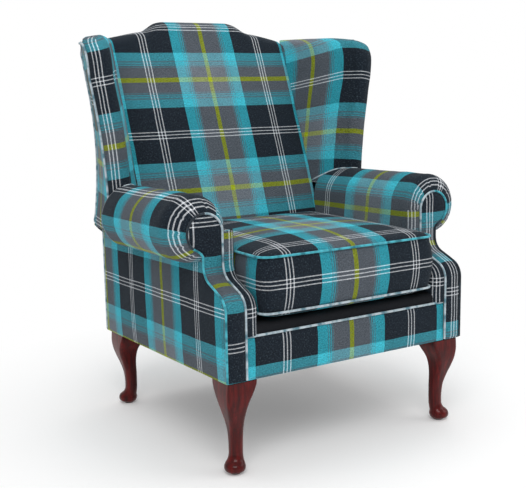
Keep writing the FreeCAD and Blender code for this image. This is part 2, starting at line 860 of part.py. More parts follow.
def outside_arm():
    """The flat panel outside an arm, from the underside to the roll and the wing."""
    inner, outer = side - cover, side
    low = size("base_rear_bottom") - 5
    foot = size("wing_foot") - 8 - gap
    back_y = rear - cover - gap
    wing_y = wing_start + 26 + 2 * gap
    p = [(inner, y, z) for y, z in sweep_points(0)]
    edges = [line((inner, p[0][1], low), p[0]), arc(*p[0:3]), line(p[2], p[3]), arc(*p[3:6])]
    corners = [p[5]]
    for depth, share, flat in gathers():
        across, height, radius = roll_circle(share)
        corners.append((inner, head_plane + depth, height - radius - 2 * gap))
    corners += [(inner, wing_y, roll_level(wing_y) - size("roll_radius") + 2 - gap),
                (inner, wing_y, foot), (inner, rear_at(foot) - cover - gap, foot),
                (inner, back_y, size("back_kink")), (inner, back_y, low), (inner, p[0][1], low)]
    edges += [line(a, b) for a, b in zip(corners, corners[1:])]
    panel = extrude(edges, (cover, 0, 0))
    panel = panel.cut(sweep_slab(inner - 1, outer + 1, -1, size("facing_thickness") + 1 + gap, 0, 700))
    return panel.cut(underside_wedge())


def underside_wedge(rise=0.0):
    """Everything below the sloping underside."""
    corners = [(-1000, 0), (1000, 0), (1000, bottom_at(1000) + rise), (-1000, bottom_at(-1000) + rise)]
    return polygon_yz(corners, -1000, 1000)


def seat_webbing():
    """Straps across the seat in both directions."""
    width, thick = size("strap_width"), size("strap_thickness")
    low = size("rail_top") + gap
    y_low = front + size("apron_setback") + cover + 2 * gap + 4
    y_high = rear_frame - 4
    x_high = side_frame - 6
    straps = []
    for i in range(6):
        x = -250 + width / 2 + i * (500 - width) / 5 - width / 2
        straps.append(box(x, x + width, y_low, y_high, low + thick + gap, low + 2 * thick + gap))
    for i in range(5):
        y = stump_rear + 14 + i * (post_front - stump_rear - 28 - width) / 4
        straps.append(box(-x_high, x_high, y, y + width, low, low + thick))
    return Part.makeCompound(straps)


def deck():
    """Canvas, padding and the dark platform cloth under the loose cushion."""
    half_width = size("seat_half_gap") - gap
    cloth = size("deck_cloth")
    top = size("deck_top")
    low = size("apron_top") + gap
    face = front + size("apron_setback") + 4
    back = back_front - gap
    keep("spring_canvas", box(-half_width, half_width, front + 16, back, stuffing_floor,
                              stuffing_floor + 1))
    corners = [(face, low), (face, top - 12), (face + 4, top - 4), (face + 14, top), (back, top),
               (back, top - cloth), (face + 15, top - cloth), (face + 5.5, top - 5.5),
               (face + cloth, top - 13), (face + cloth, low)]
    keep("platform_cloth", polygon_yz(corners, -half_width, half_width))
    inside = cloth + gap
    pad = [(face + inside, low), (face + inside, top - 14), (face + 6, top - 6.5),
           (face + 15, top - inside), (back, top - inside), (back, stuffing_floor + 1 + gap),
           (front + 42, stuffing_floor + 1 + gap), (front + 42, low)]
    keep("deck_pad", polygon_yz(pad, -half_width, half_width))


def front_border():
    """The padded apron below the seat, with a piped top edge."""
    half_width = size("facing_inside") - gap
    face = front + size("apron_setback")
    low, high = bottom_at(face), size("apron_top")
    p = [(-half_width, face, low), (-half_width, face, high - 5), (-half_width, face + 1.2, high - 1.4),
         (-half_width, face + 3.6, high), (-half_width, face + cover, high), (-half_width, face + cover, low)]
    edges = [line(p[0], p[1]), arc(p[1], p[2], p[3]), line(p[3], p[4]), line(p[4], p[5]), line(p[5], p[0])]
    return extrude(edges, (2 * half_width, 0, 0))


def dust_cover():
    """Dark cloth under the frame, cut away round the four leg blocks."""
    low, thick = 0.3, 1.1
    x = side_frame - 1
    y_low, y_high = front + size("apron_setback") + cover + gap, rear_frame
    notch_x = side - size("leg_inset") - size("leg_square") - 2
    notch_front = front + size("leg_inset") + size("leg_square") + 2
    notch_rear = rear - size("rear_leg_inset") - size("leg_square") - 2
    corners = [(notch_x, y_low), (notch_x, notch_front), (x, notch_front), (x, notch_rear),
               (notch_x, notch_rear), (notch_x, y_high)]
    corners += [(-u, v) for u, v in reversed(corners)]
    points = [Vector(u, v, 0) for u, v in corners]
    plate = Part.Face(Part.makePolygon(points + points[:1])).extrude(Vector(0, 0, 400))
    return plate.cut(underside_wedge(low)).common(underside_wedge(low + thick))


def leg_places():
    """Centres of the leg blocks and their outward directions."""
    half = size("leg_square") / 2
    x = side - size("leg_inset") - half
    places = {}
    for end, y, outward in (("front", front + size("leg_inset") + half, -1),
                            ("rear", rear - size("rear_leg_inset") - half, 1)):
        for hand, sign in (("right", 1), ("left", -1)):
            places["leg_%s_%s" % (end, hand)] = (sign * x, y, sign, outward)
    return places


def leg(x, y, across, along):
    """A cabriole leg: square knee block, hipped knee, slim ankle and a pad foot."""
    top = bottom_at(y) + 1.3
    square, ankle, foot = size("leg_square"), size("ankle_width"), size("foot_width")
    knee, reach = size("knee_reach"), size("foot_reach")
    sole = size("glide_height")
    stations = [
        (sole, foot * 0.62, 0.98, reach - 2), (sole + 5, foot * 0.9, 0.98, reach),
        (sole + 13, foot, 0.98, reach), (sole + 21, foot * 0.92, 0.98, reach - 1),
        (sole + 30, ankle * 1.12, 0.98, reach - 7), (sole + 44, ankle, 0.97, 1.5),
        (0.42 * top, ankle * 1.04, 0.84, 2.5), (0.55 * top, ankle * 1.18, 0.6, 7.5),
        (0.66 * top, ankle * 1.45, 0.46, knee - 1), (0.76 * top, square * 0.76, 0.34, knee),
        (0.86 * top, square * 0.91, 0.22, knee * 0.6), (0.94 * top, square * 0.99, 0.1, 2),
        (-gap, square, 0.04, 0), (-gap, square - 18, 0.04, 0), (1.3, square - 18, 0.04, 0),
    ]
    rings = []
    for z, width, roundness, shift in stations:
        radius = width / 2 * roundness
        ring = []
        for quarter in range(4):
            for step in range(4):
                angle = math.radians(90 * quarter + 30 * step)
                mid = math.radians(90 * quarter + 45)
                u = math.copysign(width / 2 - radius, math.cos(mid)) + radius * math.cos(angle)
                v = math.copysign(width / 2 - radius, math.sin(mid)) + radius * math.sin(angle)
                px = x + u + across * shift * math.sqrt(0.5)
                py = y + v + along * shift * math.sqrt(0.5)
                pz = bottom_at(py) + z if z < size("glide_height") else z
                ring.append(Vector(px, py, pz))
        rings.append(ring)
    return skin(rings)


def leg_set():
    """Legs with their bolts, foot glides and the corner blocks above."""
    reach = size("block_leg")
    thick = size("block_height")
    shank = size("bolt_width") / 2
    blocks, bolts, glides = [], [], []
    for name, (x, y, across, along) in leg_places().items():
        top = bottom_at(y) + 1.3
        low = bottom_at(front if along < 0 else y - size("leg_square") / 2) + under + 2
        if along < 0:
            corner_x = across * (amount(STUMP_INSIDE) - gap)
            corner_y = front + size("apron_setback") + cover + 2 * gap + size("rail_thickness")
        else:
            corner_x = across * (size("post_inside") - gap)
            corner_y = rear_frame - size("rail_thickness") - gap
        points = [Vector(corner_x, corner_y, low), Vector(corner_x - across * reach, corner_y, low),
                  Vector(corner_x, corner_y - along * reach, low)]
        prism = Part.Face(Part.makePolygon(points + points[:1])).extrude(Vector(0, 0, thick))
        bolt_x, bolt_y = corner_x - across * 19, corner_y - along * 19
        hole = Part.makeCylinder(shank + 0.15, 200, Vector(bolt_x, bolt_y, top - size("bolt_depth") / 2))
        blocks.append(prism.cut(hole))
        keep(name, leg(x, y, across, along).cut(hole))
        shaft = Part.makeCylinder(shank, low + thick - top + 28, Vector(bolt_x, bolt_y, top - 28))
        corners = [Vector(bolt_x + 9 * math.cos(a), bolt_y + 9 * math.sin(a), low + thick)
                   for a in (math.pi * k / 3 for k in range(6))]
        head = Part.Face(Part.makePolygon(corners + corners[:1])).extrude(Vector(0, 0, 6))
        bolts.append(shaft.fuse(head))
        glide_x = x + across * (size("foot_reach") - 2) * math.sqrt(0.5)
        glide_y = y + along * (size("foot_reach") - 2) * math.sqrt(0.5)
        glides.append(Part.makeCylinder(size("glide_width") / 2, size("glide_height"),
                                        Vector(glide_x, glide_y, 0)))
    keep("corner_blocks", Part.makeCompound(blocks))
    keep("leg_bolts", Part.makeCompound(bolts))
    keep("leg_glides", Part.makeCompound(glides))


def tube(path, radius, closed=False):
    """Piping: a many-sided tube with mitred joints, carried along its path without twist."""
    sides = int(size("piping_sides"))
    count = len(path)

    def direction(i):
        if closed:
            return (path[(i + 1) % count] - path[i]).normalize()
        return (path[min(i + 1, count - 1)] - path[min(i, count - 2)]).normalize()

    first = direction(0)
    normal = first.cross(Vector(0.31, 0.2, 0.93)).normalize()
    start = [path[0] + (normal * math.cos(a) + first.cross(normal) * math.sin(a)) * radius
             for a in (2 * math.pi * k / sides for k in range(sides))]
    rings = []
    current = start
    for i in range(count):
        if closed:
            before, after = direction((i - 1) % count), direction(i)
        else:
            before = direction(max(i - 1, 0))
            after = direction(i) if i < count - 1 else before
        cut_normal = (before + after).normalize()
        moved = []
        for point in current:
            travel = (path[i] - point).dot(cut_normal) / before.dot(cut_normal)
            moved.append(point + before * travel)
        rings.append(moved)
        current = moved
    if closed:
        before, after = direction(count - 1), direction(0)
        cut_normal = (before + after).normalize()
        rings[0] = [p + before * ((path[0] - p).dot(cut_normal) / before.dot(cut_normal)) for p in current]
    return skin(rings, closed)


def arc_points(start, middle, end, count):
    """Points along an arc, its start left out."""
    curve = Part.Arc(Vector(*start), Vector(*middle), Vector(*end)).toShape()
    return curve.discretize(count + 1)[1:]


def cushion_half_width():
    """Half the width at the seams, so that the piping clears the arms."""
    return size("seat_half_gap") - 2 * size("piping_radius") - size("cushion_side_play")


def cushion_rear():
    """Rear face at the seams, so that the piping clears the back."""
    return back_front - 2 * size("piping_radius") - size("cushion_rear_play")


def cushion_outline(z, inset=0.0, bulge=0.0, outset=0.0):
    """Plan of the seat cushion at a height: bowed front and sides, round corners."""
    x = cushion_half_width() - inset + bulge * 0.5 + outset
    y0 = front - size("cushion_front") + inset - bulge - outset
    y1 = cushion_rear() - inset + outset
    radius = size("cushion_corner") - inset * 0.12 + outset
    k = radius * (1 - math.sqrt(0.5))
    bow = size("cushion_bow")
    side_bow = bow * 0.2
    return [
        arc((-x + radius, y0, z), (0, y0 - bow, z), (x - radius, y0, z)),
        arc((x - radius, y0, z), (x - k, y0 + k, z), (x, y0 + radius, z)),
        arc((x, y0 + radius, z), (x + side_bow, (y0 + y1) / 2, z), (x, y1 - radius, z)),
        arc((x, y1 - radius, z), (x - k, y1 - k, z), (x - radius, y1, z)),
        line((x - radius, y1, z), (-x + radius, y1, z)),
        arc((-x + radius, y1, z), (-x + k, y1 - k, z), (-x, y1 - radius, z)),
        arc((-x, y1 - radius, z), (-x - side_bow, (y0 + y1) / 2, z), (-x, y0 + radius, z)),
        arc((-x, y0 + radius, z), (-x + k, y0 + k, z), (-x + radius, y0, z)),
    ]


def cushion():
    """The loose box cushion: foam, crowned cover with bulging sides, two piped seams."""
    low, high = size("cushion_seam_low"), size("cushion_seam_high")
    bed = size("deck_top") + size("cushion_lift")
    crown, bulge = size("cushion_crown"), size("cushion_bulge")
    boxing = [(low + (high - low) * share, 0, bulge * (1 - (2 * share - 1) ** 2))
              for share in (0, 0.17, 0.34, 0.5, 0.66, 0.83, 1)]
    dome = [(high + crown * rise, inset, 0)
            for rise, inset in ((0.32, 18), (0.58, 46), (0.8, 88), (0.94, 140), (1, 200))]
    stations = [(bed, 60, 0), (bed + 4, 34, 0), (bed + 10, 14, 0)] + boxing + dome
    form = padded([cushion_outline(*item) for item in stations], 5)
    inset = size("cushion_padding")
    x = cushion_half_width() - inset
    y0, y1 = front - size("cushion_front") + inset, cushion_rear() - inset
    foam = box(-x, x, y0, y1, bed + inset * 0.75, high)
    upright = [edge for edge in foam.Edges if abs(edge.Vertexes[0].Z - edge.Vertexes[1].Z) > 1]
    foam = foam.makeFillet(size("cushion_corner") - inset * 0.5, upright)
    keep("cushion_foam", foam)
    keep("cushion_cover", form.cut(foam))
    radius = size("piping_radius")
    for name, z in (("cushion_piping_top", high), ("cushion_piping_bottom", low)):
        points = []
        for edge in cushion_outline(z, 0, 0, radius + 2 * gap):
            steps = 5 if edge.Length < 100 else 3
            points += edge.discretize(steps + 1)[:-1]
        keep(name, tube(points, radius, True))


def facing_piping():
    """Piping round a scroll facing: up the outer edge, over the head, down the inner edge."""
    radius = size("piping_radius")
    low = bottom_at(front) + radius
    outline_edges = scroll_outline(head_plane, size("facing_inside"), side, size("scroll_radius"), low)
    p = sweep_points(0)

    def rise(x):
        points = [Vector(x, p[0][0], low), Vector(x, *p[0])]
        points += arc_points((x, *p[0]), (x, *p[1]), (x, *p[2]), 5)
        points += [Vector(x, *p[3])]
        return points + arc_points((x, *p[3]), (x, *p[4]), (x, *p[5]), 5)

    up = rise(side)
    over = [up[-1]]
    over.append(Vector(*[outline_edges[1].Vertexes[-1].Point[i] for i in range(3)]))
    for edge, steps in zip(outline_edges[2:6], (4, 3, 5, 5)):
        run = edge.discretize(steps + 1)
        if (run[0] - over[-1]).Length > (run[-1] - over[-1]).Length:
            run.reverse()
        over += run[1:]
    down = list(reversed(rise(size("facing_inside"))))
    path = up + over[1:] + down
    return tube(path, radius)


def wing_piping():
    """Piping round the outside wing: up its front edge and back over its top."""
    top = wing_levels()[-1]
    points = []
    for z in [size("wing_foot") + 2, size("wing_foot") + 45] + wing_levels()[:-1]:
        points.append(Vector(wing_reach(z) + 0.8, nose_front(z) + 30, z))
    ahead = nose_front(top) + 30
    points.append(Vector(wing_reach(top) - 0.5, ahead + 8, top))
    start = Vector(wing_reach(top) - 2.5, ahead + 24, top + 4)
    end = Vector(rear_reach(top) - 2.5, rear_at(top) - cover - 5, top + 4)
    points += [start + (end - start) * share for share in (0, 1)]
    return tube(points, size("piping_radius"))


def back_piping():
    """Piping round the outside back: up one side, over the camel top and down the other."""
    middle = cover / 2
    points = []
    foot = size("wing_foot") - 14
    for z in (bottom_at(rear) + size("piping_radius"), size("back_kink"), foot, foot + 20, 540, 610, 690, 770,
              850, 900, 970):
        reach = rear_reach(z) if z > foot else side
        points.append(Vector(reach, rear_at(z) - middle, z))
    crest = size("hump_half_width")
    run = size("hump_run")
    top = camel_top(half_pad) - 12
    points.append(Vector(rear_reach(top) - 9, rear_at(top) - middle, top - 4))
    points.append(Vector(half_pad + 22, rear_at(top) - middle, top))
    for x in (half_pad, crest + run, crest + run * 0.75, crest + run / 2, crest + run / 4, crest):
        z = camel_top(x) - 12
        points.append(Vector(x, rear_at(z) - middle, z))
    points += [Vector(-p.x, p.y, p.z) for p in reversed(points)]
    return tube(points, size("piping_radius"))


def border_piping():
    """Piping along the top edge of the front border."""
    half_width = size("facing_inside") - size("piping_radius") - 1
    radius = size("piping_radius") * 0.7
    y = front + size("apron_setback") + 1
    z = size("apron_top") + radius * 0.6
    return tube([Vector(-half_width, y, z), Vector(half_width, y, z)], radius)


frame_timbers()
doc.recompute()
timber = {piece.Label: piece.Shape.copy() for piece in parts}

crest_rail = top_rail()
keep("top_rail", crest_rail)
stump = arm_stump()
keep_pair("arm_stump", stump)

facing = scroll_facing()
trim = facing_piping()
wing_trim = wing_piping()
back_trim = back_piping()
border_trim = border_piping()

back_pad = back_form()
core = back_core(size("pad_core_inset"), 0)
foam_depth = size("back_foam_depth")
keep("back_foam", back_core(size("pad_core_inset") + gap, foam_depth).common(core.copy()))
keep("back_webbing", back_webbing(size("pad_core_inset") + foam_depth + 2 * gap))
back_cover = back_pad.cut([core, timber["lower_back_rail"], crest_rail, back_trim])
keep("inside_back_cover", largest(back_cover))

wing_timber = wing_board()
keep_pair("wing_frame", wing_timber)

arm = arm_roll().fuse(arm_front())
arm_foam = arm_stuffing()
keep_pair("arm_foam", arm_foam)
arm_cover = arm.cut([behind_roll(), back_pad, stump, facing, arm_foam, wing_timber,
                     timber["arm_rail_right"], timber["arm_tack_rail_right"]])
keep_pair("inside_arm_cover", largest(arm_cover))

wing_panel = wing_slab(wing_levels(), 0, cover, 30 + gap, cover + gap)
keep_pair("outside_wing_panel", largest(wing_panel.cut([wing_trim, back_trim])))
keep_pair("outside_wing_foot", largest(wing_tail().cut([wing_trim, back_trim])))
wing_cover = wing_form().cut([arm, wing_timber, timber["back_post_right"], crest_rail, wing_trim,
                              back_trim])
keep_pair("inside_wing_cover", largest(wing_cover))
keep_pair("wing_piping", wing_trim)

keep_pair("scroll_facing", facing)
keep_pair("facing_piping", trim)
keep_pair("outside_arm_panel", largest(outside_arm().cut(back_trim)))
keep("front_border", front_border().cut(border_trim))
keep("front_border_piping", border_trim)
keep("outside_back", largest(outside_back().cut(back_trim)))
keep("outside_back_piping", back_trim)
keep("dust_cover", dust_cover())
keep("seat_webbing", seat_webbing())
deck()
leg_set()
cushion()

doc.recompute()
for item in doc.Objects:
    if {"Invalid", "Error"} & set(item.State):
        raise RuntimeError("%s did not recompute" % item.Name)
unsound = [piece.Label for piece in parts
           if piece.Shape.isNull() or not piece.Shape.isValid() or not piece.Shape.Solids]
if unsound:
    raise RuntimeError("no valid solid: " + ", ".join(unsound))

os.makedirs("parts", exist_ok=True)
for piece in parts:
    piece.Shape.exportStep("parts/%s.step" % piece.Label)
    print("%-26s %10.0f mm3, %d solids" % (piece.Label, piece.Shape.Volume, len(piece.Shape.Solids)))
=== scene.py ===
import json
import math

import bmesh
import bpy
from mathutils import Matrix, Vector, noise

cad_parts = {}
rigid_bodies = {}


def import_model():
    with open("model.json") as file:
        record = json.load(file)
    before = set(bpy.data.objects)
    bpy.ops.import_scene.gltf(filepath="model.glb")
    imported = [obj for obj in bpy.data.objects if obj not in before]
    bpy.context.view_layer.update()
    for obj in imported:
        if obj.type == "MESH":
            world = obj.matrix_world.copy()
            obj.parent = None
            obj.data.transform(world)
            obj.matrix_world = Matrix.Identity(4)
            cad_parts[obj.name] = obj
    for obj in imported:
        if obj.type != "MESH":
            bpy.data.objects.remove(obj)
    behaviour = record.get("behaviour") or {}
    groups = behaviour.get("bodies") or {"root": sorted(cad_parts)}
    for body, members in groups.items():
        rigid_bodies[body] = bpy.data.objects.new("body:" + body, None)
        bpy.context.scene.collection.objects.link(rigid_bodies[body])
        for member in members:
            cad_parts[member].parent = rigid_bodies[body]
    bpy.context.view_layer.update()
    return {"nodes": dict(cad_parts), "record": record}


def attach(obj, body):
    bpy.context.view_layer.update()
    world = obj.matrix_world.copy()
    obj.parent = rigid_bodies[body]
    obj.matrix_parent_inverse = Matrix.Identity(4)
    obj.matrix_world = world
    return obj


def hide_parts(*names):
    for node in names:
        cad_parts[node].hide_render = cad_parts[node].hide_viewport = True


for leftover in list(bpy.data.objects):
    bpy.data.objects.remove(leftover, do_unlink=True)
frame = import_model()

# Sizes of the chair in millimetres, as in the frame
FRONT, REAR, SIDE = -397.0, 280.0, 347.0
BACK_FRONT, WING_FRONT = 116.0, 66.0
COVER, GAP, PIPE = 4.0, 0.3, 3.5
KINK, RAKE, PAD_RAKE = 480.0, math.tan(math.radians(13.3)), math.tan(math.radians(21.1))
HALF_PAD, HEAD_Z, HEAD_R = 282.0, 552.0, 45.0
FACE_IN, SEAT_HALF, SEAT_LOW = 296.0, 259.0, 346.0
ROLL_X, ROLL_Z, ROLL_R, ROLL_FALL = 355.0, 560.0, 80.0, 10.0
WING_TOP, WING_NOSE = 1012.0, 62.0
SWEEP, SWEEP_OUT, SWEEP_IN, SWEEP_RUN = math.radians(68), 42.0, 40.0, 49.0
HEAD_PLANE = FRONT + (SWEEP_OUT + SWEEP_IN) * (1 - math.cos(SWEEP)) + SWEEP_RUN * math.sin(SWEEP)
PLEATS = 8
BASE_LOW, SLOPE = 224.0, 19.0 / 677.0
HALF_ACROSS, HALF_ALONG, BACK_BAND = 186.0, 162.0, 593.0


def bottom_at(y):
    return BASE_LOW - (y - FRONT) * SLOPE


def rear_at(z):
    return REAR + max(0.0, z - KINK) * RAKE


def between(value, low, high):
    return min(max((value - low) / (high - low), 0.0), 1.0)


def soft(value, low, high):
    t = between(value, low, high)
    return t * t * (3 - 2 * t)


def lerp(a, b, t):
    return a + (b - a) * t


def steps(count):
    """Shares from 0 to 1 in equal steps."""
    return [k / count for k in range(count + 1)]


def dome(t, power):
    """0 at both ends of 0 to 1 and 1 in the middle, the flatter the more power."""
    return 1 - abs(2 * t - 1) ** power


def slide(a, b, t, start, end):
    """Between two points, or past them, as t goes from start to end."""
    return a * ((end - t) / (end - start)) + b * ((t - start) / (end - start))


def spline(points, count, closed=False):
    """Points evenly spaced along a smooth curve through the given ones."""
    pts = [Vector(p) for p in points]
    n = len(pts)
    fine = []
    spans = n if closed else n - 1
    for i in range(spans):
        if closed:
            a, b, c, d = (pts[(i + k) % n] for k in (-1, 0, 1, 2))
        else:
            b, c = pts[i], pts[i + 1]
            a = pts[i - 1] if i > 0 else b * 2 - c
            d = pts[i + 2] if i + 2 < n else c * 2 - b
        t0 = 0.0
        t1 = t0 + max((b - a).length, 1e-6) ** 0.5
        t2 = t1 + max((c - b).length, 1e-6) ** 0.5
        t3 = t2 + max((d - c).length, 1e-6) ** 0.5
        for k in range(12):
            t = t1 + (t2 - t1) * k / 12
            middle = slide(b, c, t, t1, t2)
            before = slide(slide(a, b, t, t0, t1), middle, t, t0, t2)
            after = slide(middle, slide(c, d, t, t2, t3), t, t1, t3)
            fine.append(slide(before, after, t, t1, t2))
    fine.append(pts[0].copy() if closed else pts[-1].copy())
    return resample(fine, count)


def resample(line, count):
    """Points evenly spaced along a polyline."""
    marks = lengths(line)
    total = marks[-1]
    out, j = [], 0
    for i in range(count):
        want = total * i / (count - 1)
        while j < len(marks) - 2 and marks[j + 1] < want:
            j += 1
        step = marks[j + 1] - marks[j]
        out.append(line[j].lerp(line[j + 1], between(want, marks[j], marks[j] + max(step, 1e-9))))
    return out


def lengths(line):
    """Distance along a polyline at each of its points."""
    marks = [0.0]
    for a, b in zip(line, line[1:]):
        marks.append(marks[-1] + (b - a).length)
    return marks


def mark_at(line, marks, level):
    """Distance along a rising line where it passes a height."""
    for a, b, m in zip(line, line[1:], marks):
        if a.z <= level < b.z:
            return m + (b - a).length * (level - a.z) / (b.z - a.z)
    return 0.0


# Materials


def new_material(name):
    """A material with its node tree and its main shader."""
    material = bpy.data.materials.new(name)
    material.use_nodes = True
    tree = material.node_tree
    return material, tree, tree.nodes["Principled BSDF"]


def put(name, data):
    """A new object in the scene."""
    thing = bpy.data.objects.new(name, data)
    bpy.context.scene.collection.objects.link(thing)
    return thing


def link(tree, source, target):
    tree.links.new(source, target)


def settings(node, values):
    for name, value in values.items():
        node.inputs[name].default_value = value


def calc(tree, operation, a, b=None, c=None):
    made = tree.nodes.new("ShaderNodeMath")
    made.operation = operation
    for socket, value in zip(made.inputs, (a, b, c)):
        if value is None:
            continue
        if isinstance(value, (int, float)):
            socket.default_value = value
        else:
            link(tree, value, socket)
    return made.outputs[0]


def mix(tree, factor, a, b, blend="MIX"):
    made = tree.nodes.new("ShaderNodeMix")
    made.data_type = "RGBA"
    made.blend_type = blend
    for socket, value in ((made.inputs[0], factor), (made.inputs[6], a), (made.inputs[7], b)):
        if isinstance(value, (int, float)):
            socket.default_value = value
        elif isinstance(value, tuple):
            socket.default_value = (*value, 1.0)
        else:
            link(tree, value, socket)
    return made.outputs[2]


def ramp(tree, factor, stops, smooth=False):
    made = tree.nodes.new("ShaderNodeValToRGB")
    made.color_ramp.interpolation = "LINEAR" if smooth else "CONSTANT"
    elements = made.color_ramp.elements
    while len(elements) < len(stops):
        elements.new(1.0)
    for element, (place, colour) in zip(elements, stops):
        element.position, element.color = place, (*colour, 1.0)
    link(tree, factor, made.inputs[0])
    return made.outputs[0]


def grain(tree, vector, scale, detail=2.0, rough=0.5):
    made = tree.nodes.new("ShaderNodeTexNoise")
    settings(made, {"Scale": scale, "Detail": detail, "Roughness": rough})
    link(tree, vector, made.inputs["Vector"])
    return made.outputs["Fac"]


def stretch(tree, vector, scale):
    made = tree.nodes.new("ShaderNodeMapping")
    settings(made, {"Scale": scale})
    link(tree, vector, made.inputs["Vector"])
    return made.outputs["Vector"]


def bump(tree, shader, height, strength, distance):
    made = tree.nodes.new("ShaderNodeBump")
    settings(made, {"Strength": strength, "Distance": distance})
    link(tree, height, made.inputs["Height"])
    link(tree, made.outputs["Normal"], shader.inputs["Normal"])


def rgb(text):
    """A colour as the eye sees it, turned into light values."""
    seen = [int(text[i:i + 2], 16) / 255 for i in (0, 2, 4)]
    return tuple(c / 12.92 if c <= 0.04045 else ((c + 0.055) / 1.055) ** 2.4 for c in seen)


CHARCOAL, GREY, TURQUOISE = rgb("161e27"), rgb("6a7078"), rgb("36bcd0")
TEAL, OLIVE, WHITE = rgb("43aabb"), rgb("a2ae1a"), rgb("dfe3e8")
FINE = tuple(0.62 * a + 0.38 * b for a, b in zip(GREY, TURQUOISE))
FINE_LOW = tuple(0.62 * a + 0.38 * b for a, b in zip(GREY, TEAL))


def weave_of(tree):
    """Place on the cloth, in metres, whole and as its two parts."""
    made = tree.nodes.new("ShaderNodeUVMap")
    made.uv_map = "weave"
    parts = tree.nodes.new("ShaderNodeSeparateXYZ")
    link(tree, made.outputs[0], parts.inputs[0])
    return made.outputs[0], parts.outputs[0], parts.outputs[1]


def place_of(tree):
    return tree.nodes.new("ShaderNodeTexCoord").outputs["Object"]


def darken(tree, colour, amount):
    """A colour times a plain number."""
    made = tree.nodes.new("ShaderNodeCombineColor")
    for socket in made.inputs[:3]:
        link(tree, amount, socket)
    return mix(tree, 1.0, colour, made.outputs[0], "MULTIPLY")


def thread_height(tree, u, v, pitch):
    """Fine diagonal rib of a twill, from 0 to 1."""
    wave = calc(tree, "SINE", calc(tree, "MULTIPLY", calc(tree, "ADD", u, v), 2 * math.pi / pitch))
    return calc(tree, "MULTIPLY_ADD", wave, 0.5, 0.5)


def stripes(tree, place, half, bands):
    """Stripes mirrored about 0 and about half a repeat, from millimetres where each begins."""
    share = calc(tree, "DIVIDE", calc(tree, "PINGPONG", place, half / 1000), half / 1000)
    return ramp(tree, share, [(start / half, colour) for start, colour in bands])


def tartan():
    """Woven tartan: warp and weft stripes crossing in a twill, with flecked wool."""
    material, tree, shader = new_material("plaid")
    weave, u, v = weave_of(tree)
    wander = grain(tree, weave, 9.0, 2.0)
    drift = calc(tree, "MULTIPLY", calc(tree, "SUBTRACT", wander, 0.5), 0.003)
    u = calc(tree, "ADD", u, drift)
    v = calc(tree, "ADD", v, drift)
    warp = stripes(tree, u, HALF_ACROSS, (
        (0, OLIVE), (6.5, GREY), (54, FINE), (56.5, GREY), (59, TURQUOISE), (62, GREY), (64.5, TURQUOISE),
        (68.5, FINE), (71, TURQUOISE), (100, CHARCOAL), (174.8, WHITE), (177.4, CHARCOAL), (184.5, WHITE)))
    weft = stripes(tree, v, HALF_ALONG, (
        (0, OLIVE), (6.5, GREY), (37, FINE_LOW), (40, GREY), (43, TEAL), (46, FINE_LOW), (49, TEAL),
        (53, FINE_LOW), (57, TEAL), (82, CHARCOAL), (150.8, WHITE), (153.4, CHARCOAL), (160.5, WHITE)))
    rib = thread_height(tree, u, v, 0.0022)
    cloth = mix(tree, calc(tree, "MULTIPLY_ADD", rib, 0.5, 0.25), warp, weft)
    fleck_along = grain(tree, stretch(tree, weave, (1.0, 0.45, 1.0)), 620.0, 2.0, 0.7)
    fleck_across = grain(tree, stretch(tree, weave, (0.45, 1.0, 1.0)), 440.0, 2.0, 0.7)
    fleck = calc(tree, "ADD", fleck_along, fleck_across)
    tone = calc(tree, "MULTIPLY_ADD", fleck, 1.9, -0.92)
    cloud = calc(tree, "MULTIPLY_ADD", grain(tree, weave, 22.0, 3.0), 0.3, 0.85)
    heather = darken(tree, cloth, calc(tree, "MULTIPLY", calc(tree, "MAXIMUM", tone, 0.1), cloud))
    hairs = grain(tree, stretch(tree, weave, (1.0, 0.7, 1.0)), 380.0, 1.0, 0.6)
    pale = calc(tree, "MULTIPLY", calc(tree, "MAXIMUM", calc(tree, "SUBTRACT", hairs, 0.56), 0.0), 0.9)
    link(tree, mix(tree, pale, heather, rgb("7f98a6")), shader.inputs["Base Color"])
    settings(shader, {"Roughness": 0.9, "Specular IOR Level": 0.15, "Sheen Weight": 0.07,
                      "Sheen Roughness": 0.45, "Sheen Tint": (0.75, 0.85, 0.92, 1.0)})
    height = calc(tree, "MULTIPLY_ADD", rib, 0.6, calc(tree, "MULTIPLY", fleck, 0.5))
    bump(tree, shader, height, 0.35, 0.0006)
    return material


def trim_cloth(name, low, high):
    """Bias-cut piping cloth: two tones that change along the length, with a fine rib."""
    material, tree, shader = new_material(name)
    weave, u, v = weave_of(tree)
    run = grain(tree, stretch(tree, weave, (1.0, 14.0, 1.0)), 3.0, 2.0)
    base = ramp(tree, run, [(0.38, rgb(low)), (0.55, rgb(high))], True)
    fine = grain(tree, weave, 1100.0, 2.0, 0.7)
    link(tree, darken(tree, base, calc(tree, "MULTIPLY_ADD", fine, 0.7, 0.65)), shader.inputs["Base Color"])
    settings(shader, {"Roughness": 0.85, "Specular IOR Level": 0.22, "Sheen Weight": 0.2})
    bump(tree, shader, thread_height(tree, u, v, 0.0018), 0.4, 0.0005)
    return material


def plain_cloth(name, low, high, scale):
    """Plain woven cloth in one tone, its threads in object space."""
    material, tree, shader = new_material(name)
    place = place_of(tree)
    cross = calc(tree, "ADD", grain(tree, stretch(tree, place, (1, 0.15, 1)), scale, 1.0),
                 grain(tree, stretch(tree, place, (0.15, 1, 1)), scale, 1.0))
    tone = ramp(tree, calc(tree, "MULTIPLY", cross, 0.5), [(0.35, rgb(low)), (0.65, rgb(high))], True)
    link(tree, tone, shader.inputs["Base Color"])
    settings(shader, {"Roughness": 0.9, "Specular IOR Level": 0.2})
    bump(tree, shader, cross, 0.4, 0.0006)
    return material


